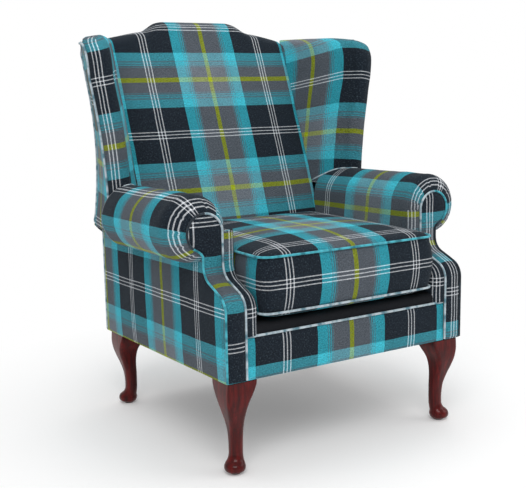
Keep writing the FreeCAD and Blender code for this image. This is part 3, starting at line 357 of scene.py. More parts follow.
def mahogany():
    """Dark red stained wood under a clear gloss."""
    material, tree, shader = new_material("mahogany_gloss")
    place = place_of(tree)
    figure = grain(tree, stretch(tree, place, (14.0, 14.0, 1.6)), 6.0, 6.0, 0.62)
    pores = grain(tree, stretch(tree, place, (60.0, 60.0, 3.0)), 9.0, 3.0, 0.6)
    base = ramp(tree, figure, [(0.3, rgb("240103")), (0.5, rgb("4a0305")), (0.72, rgb("6b0a0a"))], True)
    dark = ramp(tree, pores, [(0.36, (0.6, 0.6, 0.6)), (0.5, (1.0, 1.0, 1.0))], True)
    link(tree, mix(tree, 1.0, base, dark, "MULTIPLY"), shader.inputs["Base Color"])
    settings(shader, {"Roughness": 0.38, "Specular IOR Level": 0.2, "Specular Tint": (1.0, 0.55, 0.5, 1.0),
                      "Coat Weight": 0.32, "Coat Roughness": 0.12, "Coat Tint": (1.0, 0.72, 0.68, 1.0)})
    bump(tree, shader, pores, 0.08, 0.0004)
    return material


def two_tone(name, pull, noise_values, stops, roughness, relief, metallic=0.0):
    """A hidden piece's material: one noise for its two tones and its relief."""
    material, tree, shader = new_material(name)
    marks = grain(tree, stretch(tree, place_of(tree), pull), *noise_values)
    link(tree, ramp(tree, marks, [(place, rgb(tone)) for place, tone in stops], True),
         shader.inputs["Base Color"])
    settings(shader, {"Roughness": roughness, "Metallic": metallic})
    bump(tree, shader, marks, *relief)
    return material


PLAID = tartan()
PALE = trim_cloth("piping_pale", "5d8290", "b9c6cd")
BLUE = trim_cloth("piping_turquoise", "1f7280", "48b0c0")
DARK = trim_cloth("piping_charcoal", "2b3a44", "1b222b")
DARK_CLOTH = plain_cloth("dark_cloth", "0d0e11", "1d1f24", 1400.0)
MAHOGANY = mahogany()
WHOLE = (1.0, 1.0, 1.0)
BY_SLOT = {
    "plaid": PLAID, "piping": PALE, "dark_cloth": DARK_CLOTH, "leg_wood": MAHOGANY,
    "webbing": plain_cloth("jute_webbing", "8a7550", "b79d70", 700.0),
    "frame_wood": two_tone("sawn_beech", (3.0, 3.0, 22.0), (5.0, 5.0, 0.6),
                           [(0.3, "9a7650"), (0.7, "caa77a")], 0.7, (0.25, 0.001)),
    "foam": two_tone("foam", WHOLE, (900.0, 2.0, 0.7),
                     [(0.35, "cdbb8a"), (0.65, "efe2bd")], 0.95, (0.4, 0.001)),
    "steel": two_tone("zinc_steel", (40.0, 40.0, 4.0), (20.0, 3.0),
                      [(0.3, "8c8f92"), (0.7, "b9bcc0")], 0.35, (0.1, 0.0003), 1.0),
    "glide_plastic": two_tone("glide_plastic", WHOLE, (1500.0, 2.0),
                              [(0.3, "1b1716"), (0.7, "2a2422")], 0.5, (0.2, 0.0003)),
}

for part in frame["record"]["subparts"]:
    materials = frame["nodes"][part["node"]].data.materials
    materials.clear()
    materials.append(BY_SLOT[part["material_slot"]])


# Meshes


def make(name, cells, points, weave, material, nodes, body="chair", merge=0.02):
    """A piece from cells (tuples of point numbers), points in millimetres and weave places."""
    mesh = bpy.data.meshes.new(name)
    mesh.from_pydata([Vector(p) / 1000 for p in points], [], cells)
    layer = mesh.uv_layers.new(name="weave")
    for loop in mesh.loops:
        u, v = weave[loop.vertex_index]
        layer.data[loop.index].uv = (u / 1000, v / 1000)
    work = bmesh.new()
    work.from_mesh(mesh)
    if merge:
        bmesh.ops.remove_doubles(work, verts=work.verts, dist=merge / 1000)
    bmesh.ops.recalc_face_normals(work, faces=work.faces)
    work.to_mesh(mesh)
    work.free()
    for polygon in mesh.polygons:
        polygon.use_smooth = True
    piece = put(name, mesh)
    mesh.materials.append(material)
    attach(piece, body)
    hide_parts(*nodes)
    return piece


def grid(rows, closed=False):
    """Cells, points and weave places of rows of (point, (u, v)) with equal counts."""
    points = [item[0] for row in rows for item in row]
    weave = [item[1] for row in rows for item in row]
    wide = len(rows[0])
    cells = []
    for i in range(len(rows) - 1):
        for j in range(wide if closed else wide - 1):
            k = (j + 1) % wide
            cells.append((i * wide + j, i * wide + k, (i + 1) * wide + k, (i + 1) * wide + j))
    return cells, points, weave


def flip(rows, sign):
    """The same rows on the left for sign -1."""
    if sign >= 0:
        return rows
    return [[(Vector((-p[0], p[1], p[2])), w) for p, w in row] for row in rows]


HAND = {1: "_right", -1: "_left", 0: ""}


def cover(name, node, rows, sign=0):
    """A padded piece of the plaid, on one hand or, with sign 0, in the middle."""
    cells, points, weave = grid(flip(rows, sign))
    make(name + HAND[sign], cells, points, weave, PLAID, [node + HAND[sign]])


def middle_of(row):
    return sum((p for p, w in row), Vector()) / len(row)


def lump(p, size, amount):
    """Small soft unevenness of stuffed cloth."""
    return noise.noise(Vector(p) / size) * amount


def camel_top(x):
    """Height of the camel top: flat in the middle, down through an S, then a slow fall."""
    half_run, half_rise = 45.0, 15.0
    radius = (half_run ** 2 + half_rise ** 2) / (2 * half_rise)
    out = min(max(abs(x) - 100, 0), 2 * half_run)
    if out <= half_run:
        fall = radius - math.sqrt(radius ** 2 - out ** 2)
    else:
        out = 2 * half_run - out
        fall = 2 * half_rise - radius + math.sqrt(radius ** 2 - out ** 2)
    return 1060 - fall - between(abs(x), 190, HALF_PAD) * 14


def pad_front(z):
    return BACK_FRONT + max(0.0, z - KINK) * PAD_RAKE


def inside_back():
    """Inside back: a raked, softly crowned pad that rolls over the camel top."""
    rows = []
    for side in steps(72):
        x = lerp(-HALF_PAD, HALF_PAD, side)
        share = abs(x) / HALF_PAD
        sink = 14 * share ** 4
        top = camel_top(x) - 6 * share ** 4
        shoulder = top - 40
        foot = BACK_FRONT + sink
        face = [(0, foot, SEAT_LOW), (0, foot, 410), (0, foot - 1, KINK - 10)]
        for t in steps(8)[1:]:
            z = lerp(KINK - 10, shoulder, t)
            crown = 7 * math.sin(math.pi * t) * (1 - 0.4 * share ** 2)
            face.append((0, pad_front(z) + sink - crown, z))
        crest = pad_front(shoulder) + sink + 26
        face += [(0, crest - 13, top - 13), (0, crest + 4, top - 3), (0, crest + 24, top)]
        face += [(0, rear_at(top - 14) - 14, top - 8), (0, rear_at(top - 14) - 4, top - 14)]
        line = spline(face, 90)
        marks = lengths(line)
        zero = mark_at(line, marks, BACK_BAND)
        row = []
        for m, p in zip(marks, line):
            q = Vector((x, p.y, p.z))
            q.y += lump(q, 90, 1.6) + lump(q, 35, 0.6)
            row.append((q, (x, m - zero)))
        rows.append(row)
    cover("inside_back", "inside_back_cover", rows)


def circle_reach(z, low, middle, high):
    """Sideways reach on the circle through the reach at seat, waist and head height."""
    waist_z, head_z = 690.0, 900.0
    if z <= KINK:
        return low
    if z >= head_z:
        return high + (z - head_z) * 0.06
    a, b, c = Vector((low, KINK)), Vector((middle, waist_z)), Vector((high, head_z))
    ab, bc, ca = a - b, b - c, c - a
    d = 2 * (a.x * bc.y + b.x * ca.y + c.x * ab.y)
    centre_x = (a.length_squared * bc.y + b.length_squared * ca.y + c.length_squared * ab.y) / d
    centre_y = -(a.length_squared * bc.x + b.length_squared * ca.x + c.length_squared * ab.x) / d
    radius = (a - Vector((centre_x, centre_y))).length
    out = math.sqrt(max(radius ** 2 - (z - centre_y) ** 2, 0))
    return centre_x - out if centre_x > middle else centre_x + out


def wing_reach(z):
    return circle_reach(z, 402.0, 408.0, 438.0)


def rear_reach(z):
    return circle_reach(z, 375.0, 335.0, 335.0)


def droop(q):
    """The wing's top slopes down to its outer front corner."""
    q.z -= 12 * soft(abs(q.x), 360, 440) * soft(q.z, 930, WING_TOP)
    return q


def nose_front(z):
    share = between(z, 930, WING_TOP)
    return WING_FRONT + 55 * (1 - math.sqrt(1 - 0.98 * share ** 2))


def wing_sides(z, count=30):
    """Inner and outer line of a wing at a height, both from the rear to the nose's tip."""
    level = min(z, WING_TOP)
    nose = nose_front(level)
    reach = wing_reach(level)
    tip = Vector((reach - WING_NOSE * 0.48, nose))
    root = Vector((HALF_PAD + GAP, pad_front(level) + 20))
    inner = Vector((reach - WING_NOSE, nose + 32))
    blend = Vector(((inner.x + root.x) / 2 - 7, (inner.y + root.y) / 2 - 6))
    inside = spline([root, blend, inner, (inner.x + 8, nose + 9), tip], count)
    back_y = rear_at(level) - COVER - GAP
    outer = Vector((reach, nose + 30))
    corner = Vector((rear_reach(level) - 4, back_y))
    seam = outer - Vector((3.6, -6))
    flat = [corner, corner.lerp(seam, 0.5), seam]
    outside = resample(flat, count - 10) + spline([outer, (outer.x - 8, nose + 9), tip], 10)
    return inside, outside


def wing(sign):
    """Padded wing: inner face, rounded nose and a rounded top."""
    low, curl = 588.0, 20.0
    brim = WING_TOP - curl
    heights = [(lerp(low, brim, t), 0.0, 0.0) for t in steps(34)]
    for t in steps(7)[1:]:
        angle = math.pi / 2 * t
        heights.append((brim + curl * math.sin(angle), curl * (1 - math.cos(angle)), curl * angle))
    rows = []
    for z, inset, over in heights:
        inside, outside = wing_sides(z)
        pairs = [(a, b, min(0.5, inset / max((b - a).length, 1.0))) for a, b in zip(inside, outside)]
        back = Vector((0, inset))
        line = [a.lerp(b, t) + back * soft(k, 22, 29) for k, (a, b, t) in enumerate(pairs)]
        line += [b.lerp(a, t) + back * soft(29 - k, 22, 29)
                 for k, (a, b, t) in enumerate(reversed(pairs[:-1]), start=1)]
        marks = lengths(line)
        zero = marks[len(inside) + 8]
        height = brim + over if over else z
        row = []
        for m, p in zip(marks, line):
            t = zero - m
            if sign < 0:
                u = 186 - (t - 30)
                tilt = 14 - 0.14 * min(max(t, -40), 160)
            else:
                u = 224 - t if t > 124 else 100 + (124 - t) * 0.57
                tilt = max(6 + (z - 660) * 0.132, 0) * between(t, 124, zero) + 10 * between(-t, -60, 0)
            q = Vector((p.x, p.y, z))
            if t > -5:
                q.x -= lump(q, 80, 1.4) + lump(q, 30, 0.5)
            row.append((droop(q), (u, height - 740 + tilt)))
        rows.append(row)
    last = rows[-1]
    middle = []
    for (p, w), (partner, _) in zip(last, reversed(last)):
        q = (p + partner) / 2
        q.z += 1.5
        middle.append((q, (w[0], w[1] + (p - partner).length / 2)))
    rows.append(middle)
    cover("wing", "inside_wing_cover", rows, sign)


def outside_wing(sign):
    """Outside of a wing: one padded panel from its piped edge to the back, rounded at its foot."""
    heights = [(500, 14), (501.5, 9), (505, 5), (510, 2), (516, 0.5)]
    heights += [(lerp(524, 996, t), 0.0) for t in steps(40)]
    rows = []
    for z, inset in heights:
        reach, corner = wing_reach(z) - inset, rear_reach(z) - inset * 0.4
        nose = nose_front(z) + 30
        back_y = rear_at(z) - COVER
        start, end = Vector((reach, nose, z)), Vector((corner, back_y, z))
        across = end - start
        out = Vector((across.y, -across.x, 0)).normalized()
        row = []
        for t in steps(24):
            q = start + across * t
            pad = 2.5 * dome(t, 4) * soft(z, 500, 540) * (1 - soft(z, 960, 996))
            q += out * (pad + lump(q, 70, 0.8))
            row.append((droop(q), (across.length * t - 118, z - 682)))
        rows.append(row)
    rows.insert(0, [(Vector((lerp(p.x, 330, 0.5), p.y, p.z - 0.5)), w) for p, w in rows[0]])
    cover("outside_wing", "outside_wing_panel", rows, sign)


def wing_foot(sign):
    """Stuffed lower end of the outside wing, behind the roll."""
    rows = []
    for z, inset in ((500, 16), (501, 10), (505, 5), (511, 1.5), (520, 0), (560, 0), (604, 0)):
        reach = wing_reach(z) - inset - 0.6
        corner = rear_reach(z) - inset * 0.4 - 0.6
        back_y = rear_at(z) - COVER - GAP
        ring = [(314, 125), (342, 98), (358, 76 + inset * 0.5), (372, 72 + inset), (reach - 16, 72 + inset),
                (reach - 4, 77 + inset), (reach, 90 + inset)]
        line = spline([(x, y, z) for x, y in ring], 40) + resample(
            [Vector((reach, 92 + inset, z)), Vector((corner, back_y, z))], 20)
        marks = lengths(line)
        rows.append([(p, (m - 200, z - 682)) for m, p in zip(marks, line)])
    centre = middle_of(rows[0])
    rows.insert(0, [(p.lerp(Vector((centre.x, centre.y, p.z)), 0.6), w) for p, w in rows[0]])
    cover("outside_wing_foot", "outside_wing_foot", rows, sign)


def roll_fall(y):
    """How much the roll has come down towards the rear."""
    return ROLL_FALL * between(y, HEAD_PLANE, 230)


def roll_centre(share):
    """Centre and radius of the roll's section, from its head to its full width."""
    head = FACE_IN + HEAD_R
    return (lerp(head, ROLL_X, share), lerp(HEAD_Z, ROLL_Z, share), lerp(HEAD_R, ROLL_R - 1, share))


def roll_weave(angle):
    """Place along the cloth at an angle round a roll."""
    turn = math.radians(66)
    if angle <= turn:
        return ROLL_R * (angle + math.radians(52))
    return HALF_ALONG + (angle - turn) * ROLL_R * 0.87


def roll_stations():
    """Depth, width share and cloth still to go, over the roll's gathered front."""
    front = []
    for t in steps(12):
        turn = math.pi / 2 * t
        front.append((HEAD_PLANE + 2 + 46.0 * (1 - math.cos(turn)), math.sin(turn)))
    run = [0.0]
    for a, b in zip(front, front[1:]):
        run.append(run[-1] + math.hypot(b[0] - a[0], 34 * (b[1] - a[1])))
    return [(y, share, run[-1] - m) for (y, share), m in zip(front, run)]


def roll_end(angle):
    """Depth where the roll stops: against the wing's foot, or hidden inside it."""
    x = ROLL_X + ROLL_R * math.cos(angle)
    return lerp(71.5, 150.0, soft(360 - x, 0, 18))


def arm(sign):
    """Inside arm and roll in one cover, gathered in pleats round the scroll head."""
    start, end = math.radians(-99), math.radians(172)
    around, waist = 104, 430.0
    gathered = roll_stations()
    full = gathered[-1][0]
    stations = gathered + [(None, t, 0.0) for t in steps(30)[1:]]
    step = (end - start) / PLEATS
    rows = []
    for y, share, left in stations:
        row = []
        wide = 1.0 if y is None else share
        cx, cz, radius = roll_centre(wide)
        inner = lerp(FACE_IN - 1, SEAT_HALF, wide ** 0.8)
        for j in range(around):
            angle = lerp(start, end, j / (around - 1))
            place = (angle - start) / step
            near = place - math.floor(place)
            chord = math.cos(step / 2) / math.cos((near - 0.5) * step)
            crease = math.exp(-((min(near, 1 - near)) / 0.085) ** 2)
            if y is None:
                flat = math.exp(-share * 30 / 3.0) * 0.25
                fold = 1.6 * flat * 4
                yy = lerp(full, roll_end(angle), share)
                u = yy + 105
            else:
                flat = (1 - wide) ** 0.5 * 0.85
                fold = 5.0 * math.sin(math.pi * min(1.0, wide * 0.9 + 0.1)) * (1 - wide * 0.55)
                yy = y - crease * 1.2 * (1 - wide)
                u = full + 105 - left
            r = radius * lerp(1.0, chord, flat) - crease * fold
            out = Vector((math.cos(angle), 0, math.sin(angle)))
            q = Vector((cx, yy, cz - roll_fall(yy))) + out * r
            if y is None:
                q += out * (lump(q, 70, 2.0) + lump(q, 28, 0.6))
            row.append((q, (u, roll_weave(angle))))
        last, base = row[-1]
        down = spline([last, ((last.x + inner) / 2 + 2, last.y, (last.z + waist) / 2 - 4),
                       (inner, last.y, waist), (inner, last.y, SEAT_LOW)], 26)
        row += [(q, (base[0], base[1] + m)) for m, q in list(zip(lengths(down), down))[1:]]
        rows.append(row)
    last = rows[-1]
    for shrink, more in ((0.97, 1.5), (0.9, 2.0), (0.5, 2.0), (0.0, 2.0)):
        ring = []
        for p, w in last:
            q = Vector((ROLL_X, p.y, ROLL_Z - 8)).lerp(p, shrink)
            q.y += more
            ring.append((q, (w[0] + (1 - shrink) * ROLL_R, w[1])))
        rows.append(ring)
    cover("arm_roll", "inside_arm_cover", rows, sign)


def sweep_line(inset, z_low, z_high, count):
    """Side view of the arm front as evenly spaced points (0, y, z)."""
    convex, concave = SWEEP_OUT - inset, SWEEP_IN + inset
    y, z = FRONT + inset, 384.0
    points = [Vector((0, y, z_low)), Vector((0, y, z))]
    for t in steps(12)[1:]:
        a = SWEEP * t
        points.append(Vector((0, y + convex * (1 - math.cos(a)), z + convex * math.sin(a))))
    last = points[-1]
    last = Vector((0, last.y + SWEEP_RUN * math.sin(SWEEP), last.z + SWEEP_RUN * math.cos(SWEEP)))
    points.append(last)
    for t in reversed(steps(12)[:-1]):
        a = SWEEP * t
        points.append(Vector((0, last.y + concave * (math.cos(a) - math.cos(SWEEP)),
                              last.z + concave * (math.sin(SWEEP) - math.sin(a)))))
    if z_high > points[-1].z:
        points.append(Vector((0, points[-1].y, z_high)))
    return resample(points, count)


def arm_front(sign):
    """The padded front edge of the inside arm, rounded towards the seat."""
    rows = []
    lines = []
    round_off = [(FACE_IN - 2.5, 1.5), (FACE_IN - 8, 0.2), (284, 0), (276, 0.6), (269, 3), (263.5, 7.5),
                 (260.2, 13), (SEAT_HALF, 20)]
    for x, inset in round_off:
        lines.append([Vector((x, p.y, p.z)) for p in sweep_line(inset, 326, 552, 60)])
    lines.append([Vector((SEAT_HALF, HEAD_PLANE + 30, p.z)) for p in lines[-1]])
    for k in range(60):
        line = [row[k] for row in lines]
        marks = lengths(line)
        row = []
        for m, p in zip(marks, line):
            q = Vector(p)
            q.y += lump(q, 45, 1.0) if p.y < HEAD_PLANE + 20 else 0
            row.append((q, (m - marks[4] - HALF_ACROSS, 865 - p.z)))
        rows.append(row)
    cover("arm_front", "inside_arm_cover", rows, sign)


def scroll_range(z, edge):
    """Inner and outer x of a facing at a height."""
    inner, outer, radius = FACE_IN + edge, SIDE - edge, HEAD_R - edge
    centre = inner + radius
    flare = 15.0
    across = outer + flare - centre
    down = math.sqrt((radius + flare) ** 2 - across ** 2)
    if z >= HEAD_Z:
        half = math.sqrt(max(radius ** 2 - (z - HEAD_Z) ** 2, 0))
        return centre - half, centre + half
    turn_z = HEAD_Z - radius * down / (radius + flare)
    if z >= turn_z:
        return inner, centre + math.sqrt(max(radius ** 2 - (z - HEAD_Z) ** 2, 0))
    if z >= HEAD_Z - down:
        return inner, outer + flare - math.sqrt(max(flare ** 2 - (z - HEAD_Z + down) ** 2, 0))
    return inner, outer


def facing(sign):
    """Padded facing on the arm front, from the base over the sweep to the scroll head."""
    edge = 2.6
    line = sweep_line(0, bottom_at(FRONT) + 1, HEAD_Z, 84)
    for t in steps(12)[1:]:
        angle = math.pi / 2 * t
        line.append(Vector((0, HEAD_PLANE, HEAD_Z + (HEAD_R - edge) * math.sin(angle))))
    marks = lengths(line)
    rows = []
    for k, (m, p) in enumerate(zip(marks, line)):
        inner, outer = scroll_range(p.z, edge)
        ahead = line[min(k + 1, len(line) - 1)] - line[max(k - 1, 0)]
        out = Vector((0, -ahead.z, ahead.y)).normalized()
        end = between(m, 0, 10) * between(marks[-1] - m, 0, 14)
        row = []
        for t in steps(16):
            q = Vector((lerp(inner, outer, t), p.y, p.z))
            puff = dome(t, 3) * math.sqrt(max(end, 0))
            q += out * (-1.2 + 5.0 * puff + lump(q, 40, 0.8) * puff)
            if sign < 0:
                u, v = 137 + (q.x - 321.5) * 0.8, m + bottom_at(FRONT) - 143
            else:
                u, v = 186 + (q.x - 325), m + bottom_at(FRONT) - 187
            row.append((q, (u, v)))
        rows.append(row)
    cover("facing", "scroll_facing", rows, sign)


def outside_arm(sign):
    """The panel outside an arm, pulled over its frame with a little wadding."""
    top_line = sweep_line(0, 300, HEAD_Z, 200)

    def top_at(y):
        if y < HEAD_PLANE:
            return min(top_line, key=lambda p: abs(p.y - y)).z
        share = math.sqrt(max(0.0, 1 - (1 - between(y, HEAD_PLANE, HEAD_PLANE + 46)) ** 2))
        cz, radius = roll_centre(share)[1:]
        return lerp(cz - roll_fall(y) - radius + 4, 504.0, soft(y, 96, 102))

    rows = []
    for along in steps(90):
        y = lerp(FRONT + 1, REAR - 3, along)
        low, high = bottom_at(y) + 0.5, top_at(y)
        row = []
        for t in steps(30):
            z = lerp(low, high, t)
            yy = y + max(0.0, z - KINK) * RAKE * between(along, 2 / 3, 1)
            pad = dome(t, 5) * dome(along, 8)
            q = Vector((SIDE - 0.8 + 3.0 * pad, yy, z))
            q.x += lump(q, 80, 1.2) * pad
            row.append((q, (1.035 * (yy + 86 - 0.03 * (z - 375)), z + 0.03 * (yy + 61) - 212.5)))
        rows.append(row)
    cover("outside_arm", "outside_arm_panel", rows, sign)


def apron():
    """Padded front border under the seat."""
    half = FACE_IN - GAP
    rows = []
    for side in steps(60):
        x = lerp(-half, half, side)
        line = [Vector((x, -381.6, BASE_LOW + 0.2)), Vector((x, -391.8, BASE_LOW))]
        for t in steps(24):
            puff = dome(t, 4) * dome(side, 10)
            q = Vector((x, -392 - 3.4 * puff, lerp(BASE_LOW + 0.4, 319, t)))
            q.y += lump(q, 60, 1.2) * puff
            line.append(q)
        line += [Vector((x, -390.5, 321.6)), Vector((x, -388, 322.6))]
        rows.append([(p, (x, p.z - 172)) for p in line])
    cover("apron", "front_border", rows)


def outside_back():
    """Back panel from the base to the camel top, pulled flat over the frame."""
    rows = []
    for side in steps(60):
        c = lerp(-1.0, 1.0, side)
        row = []
        guide = abs(c) * 357
        if guide <= 300:
            high = camel_top(min(guide, HALF_PAD)) - 9
        else:
            t = between(guide, 300, 357)
            high = lerp(1007, 982, 1 - math.sqrt(max(0.0, 1 - t ** 2)))
        for t in steps(70):
            z = lerp(205.6, high, t)
            x = c * lerp(SIDE, rear_reach(z), soft(z, 488, 500))
            pad = (1 - abs(c) ** 6) * dome(t, 6)
            q = Vector((x, rear_at(z) + 0.2 + 2.2 * pad, z))
            q.y += lump(q, 110, 1.2) * pad
            row.append((q, (x, (z - BACK_BAND) * math.hypot(1, RAKE))))
        rows.append(row)
    cover("outside_back_panel", "outside_back", rows)


# Loose cushion


CUSHION_LOW, CUSHION_HIGH = 371.0, 500.0


def cushion_outline(inset, bulge):
    """Plan of the cushion from its front centre: bowed front and sides, round corners."""
    x = 250.1 - inset + bulge * 0.5
    y0 = FRONT - 1 + inset - bulge
    y1 = 108.0 - inset
    radius = 30 - inset * 0.12

    def turned(cx, cy, start):
        return [(cx + radius * math.cos(a), cy + radius * math.sin(a))
                for a in (math.radians(start + 90 * k / 8) for k in range(9))]

    points = [(0, y0 - 4), (x * 0.35, y0 - 3.4), (x * 0.7, y0 - 1.7)]
    points += turned(x - radius, y0 + radius, 270)
    points += [(x + 0.6, lerp(y0, y1, 0.3)), (x + 0.8, lerp(y0, y1, 0.5)), (x + 0.6, lerp(y0, y1, 0.7))]
    points += turned(x - radius, y1 - radius, 0)
    points += [(x * 0.5, y1), (0, y1)]
    left = [(-px, py) for px, py in reversed(points[1:-1])]
    return points + left


def cushion_rings(crown, bulge):
    """Rings from the underside over the boxing to the crown."""
    stations = [(350.6, 120, 0), (350.6, 60, 0), (354, 30, 0), (361, 11, 0)]
    for t in steps(12):
        stations.append((lerp(CUSHION_LOW, CUSHION_HIGH, t), 0, bulge * dome(t, 2)))
    for t in steps(11)[1:]:
        rise = math.sin(math.pi / 2 * min(1.0, t * 1.15)) ** 0.8
        stations.append((CUSHION_HIGH + crown * rise, 235 * t ** 1.5, 0))
    rings = []
    for z, inset, puff in stations:
        ring = spline([(px, py, 0) for px, py in cushion_outline(inset, puff)], 161, True)[:-1]
        rings.append([Vector((p.x, p.y, z)) for p in ring])
    return rings


def cushion_weave(p, normal):
    """Place on the cloth of a point on the cushion, by panel."""
    if normal.z > 0.62 and p.z > CUSHION_HIGH - 4:
        return p.x, p.y + 524
    if p.z < CUSHION_LOW + 2 and normal.z < -0.4:
        return p.x, p.y + 300
    if abs(p.y - (FRONT - 1)) < 60 and abs(normal.y) >= abs(normal.x):
        along = p.x
    else:
        along = math.copysign(250 + (p.y - FRONT), p.x) if abs(normal.x) > abs(normal.y) or p.y < 60 else (
            math.copysign(250 + 505 + 250 - abs(p.x), p.x))
    return along, p.z - 437 + 162


def cushion():
    """The loose seat cushion's cover, puffed between its seams."""
    rings = cushion_rings(crown=28.0, bulge=12.0)
    cells, points, weave = grid([[(p, (0, 0)) for p in ring] for ring in rings], closed=True)
    wide = len(rings[0])
    cells.append(tuple(reversed(range(wide))))
    cells.append(tuple(range(len(points) - wide, len(points))))
    piece = make("seat_cushion_cover", cells, points, weave, PLAID, ["cushion_cover"],
                 body="seat_cushion")
    mesh = piece.data
    layer = mesh.uv_layers["weave"]
    for polygon in mesh.polygons:
        for index in polygon.loop_indices:
            p = mesh.vertices[mesh.loops[index].vertex_index].co * 1000
            u, v = cushion_weave(p, polygon.normal)
            layer.data[index].uv = (u / 1000, v / 1000)


# Trim


def piping(name, path, material, nodes, radius=2.9, closed=False, count=200, body="chair"):
    """Covered cord along a path, round, its thickness varying a little along its length."""
    line = spline(path, count, closed)
    if closed:
        line = line[:-1]
    total = len(line)
    sides = 12
    rows = []
    previous = None
    travelled = 0.0
    for i, p in enumerate(line):
        ahead = line[(i + 1) % total] if closed or i + 1 < total else p
        behind = line[i - 1] if closed or i > 0 else p
        direction = (ahead - behind).normalized()
        if previous is None:
            previous = direction.cross(Vector((0.31, 0.2, 0.93))).normalized()
        normal = (previous - direction * previous.dot(direction)).normalized()
        previous = normal
        other = direction.cross(normal)
        if i:
            travelled += (p - line[i - 1]).length
        swell = radius * (1 + 0.05 * noise.noise(p / 9))
        rows.append([(p + (normal * math.cos(a) + other * math.sin(a)) * swell, (a * radius, travelled))
                     for a in (2 * math.pi * k / sides for k in range(sides + 1))])
    if closed:
        rows.append([(a, (w[0], travelled + 4)) for a, w in rows[0]])
        first, last = rows[0], rows[-1]
        twist = min(range(sides), key=lambda s: (rows[-2][0][0] - first[s][0]).length)
        if twist:
            rows[-1] = [(first[(k + twist) % sides][0], last[k][1]) for k in range(sides + 1)]
    else:
        first, last = ([(middle_of(row[:-1]), w) for q, w in row] for row in (rows[0], rows[-1]))
        rows = [first] + rows + [last]
    cells, points, weave = grid(rows)
    make(name, cells, points, weave, material, nodes, body=body, merge=0.05)


def facing_trim(sign):
    """Piping round a facing: outer edge and head, then the inner edge."""
    rise = sweep_line(0, bottom_at(FRONT) + PIPE, 495, 40)
    outer = [Vector((scroll_range(p.z, 0)[1], p.y, p.z)) for p in rise]
    heights = [lerp(500, 597, math.sin(math.pi / 2 * t)) for t in steps(16)]
    sweep_all = sweep_line(0, bottom_at(FRONT) + PIPE, 600, 240)

    def depth_at(z):
        return min(sweep_all, key=lambda p: abs(p.z - z)).y

    over = [Vector((scroll_range(z, 0)[1], depth_at(z), z)) for z in heights]
    back = [Vector((scroll_range(z, 0)[0], depth_at(z), z)) for z in reversed(heights[:-1])]
    inner = [Vector((FACE_IN, p.y, p.z)) for p in reversed(rise)]
    low_edge, head_edge = (BLUE, DARK) if sign < 0 else (DARK, BLUE)
    runs = (("outer", outer + over[:3], low_edge), ("head", over[2:], head_edge),
            ("inner", over[-1:] + back + inner, PALE))
    for part, path, material in runs:
        path = [Vector((sign * p.x, p.y, p.z)) for p in path]
        piping("facing_piping_" + part + HAND[sign], path, material, ["facing_piping" + HAND[sign]],
               radius=2.7)


def wing_trim(sign):
    """Piping round an outside wing, and the cord where the wing meets the roll."""
    path = []
    for t in steps(26):
        z = lerp(510, 992, t)
        path.append(Vector((wing_reach(z) + 1.0, nose_front(z) + 30, z)))
    path.append(Vector((wing_reach(996) - 0.5, nose_front(998) + 38, 997)))
    start = Vector((wing_reach(998) - 2.5, nose_front(998) + 54, 998.5))
    end = Vector((rear_reach(998) - 2.5, rear_at(998) - 9, 998.5))
    path += [start.lerp(end, t) for t in (0, 0.25, 0.5, 0.75, 1)]
    path = [droop(Vector((sign * p.x, p.y, p.z))) for p in path]
    name = "wing_piping" + HAND[sign]
    piping(name, path, PALE, [name], count=240)
    seam = []
    for p in wing_sides(622)[0]:
        rise = math.sqrt(max((ROLL_R - 1) ** 2 - (p.x - ROLL_X) ** 2, 0.0))
        seam.append(Vector((sign * (p.x - 0.8), p.y - 1.5, ROLL_Z - roll_fall(p.y) + rise)))
    piping("wing_seam" + HAND[sign], seam[2:], PALE, [name], radius=2.4, count=90)


def back_trim():
    """Piping round the outside back, up one side, over the camel top and down the other."""
    right = []
    for z in (210, 300, 400, 450, 480, 494, 514, 530, 560, 610, 690, 770, 850, 900, 950, 975):
        reach = rear_reach(z) if z > 500 else SIDE
        right.append(Vector((reach + (0.5 if z > 500 else -0.5), rear_at(z) - 2, z)))
    right.append(Vector((rear_reach(995) - 9, rear_at(998) - 2, 994)))
    right.append(Vector((HALF_PAD + 32, rear_at(1003) - 2, 1003)))
    for x in (HALF_PAD + 4, 250, 220, 190, 175, 160, 145, 130, 115, 100, 60, 0):
        z = camel_top(min(x, HALF_PAD)) - 12
        right.append(Vector((x, rear_at(z) - 2, z)))
    left = [Vector((-p.x, p.y, p.z)) for p in reversed(right[:-1])]
    piping("outside_back_piping_cord", right + left, PALE, ["outside_back_piping"], count=420)


def border_trim():
    path = [(x, -391.5, 324.2) for x in (-292, -200, -100, 0, 100, 200, 292)]
    piping("apron_piping", path, PALE, ["front_border_piping"], count=160)


def cushion_trim():
    for name, z, material in (("top", CUSHION_HIGH, BLUE), ("bottom", CUSHION_LOW, PALE)):
        ring = [(x, y, z) for x, y in cushion_outline(-4.1, 0)]
        piping("cushion_cord_" + name, ring, material, ["cushion_piping_" + name], closed=True,
               count=420, body="seat_cushion")


# Under the seat


def platform():
    """Dark platform cloth over the seat deck."""
    half = SEAT_HALF - GAP
    profile = [(-388, 323.4), (-388, 330), (-388, 338), (-386.5, 344), (-382, 348), (-374, 350)]
    profile += [(lerp(-366, 115.6, t), 350) for t in steps(30)]
    rows = []
    for side in steps(30):
        row = []
        run = 0.0
        for k, (y, z) in enumerate(profile):
            x = lerp(-half, half, side) * lerp(1.018, 1.0, soft(y, -388, -374))
            if k:
                run += math.hypot(y - profile[k - 1][0], z - profile[k - 1][1])
            sag = 0.35 * dome(side, 3) if z > 349 and -360 < y < 100 else 0.0
            row.append((Vector((x, y, z - sag)), (x, run)))
        rows.append(row)
    cells, points, weave = grid(rows)
    cloth = make("platform_cloth_sheet", cells, points, weave, DARK_CLOTH, ["platform_cloth"])


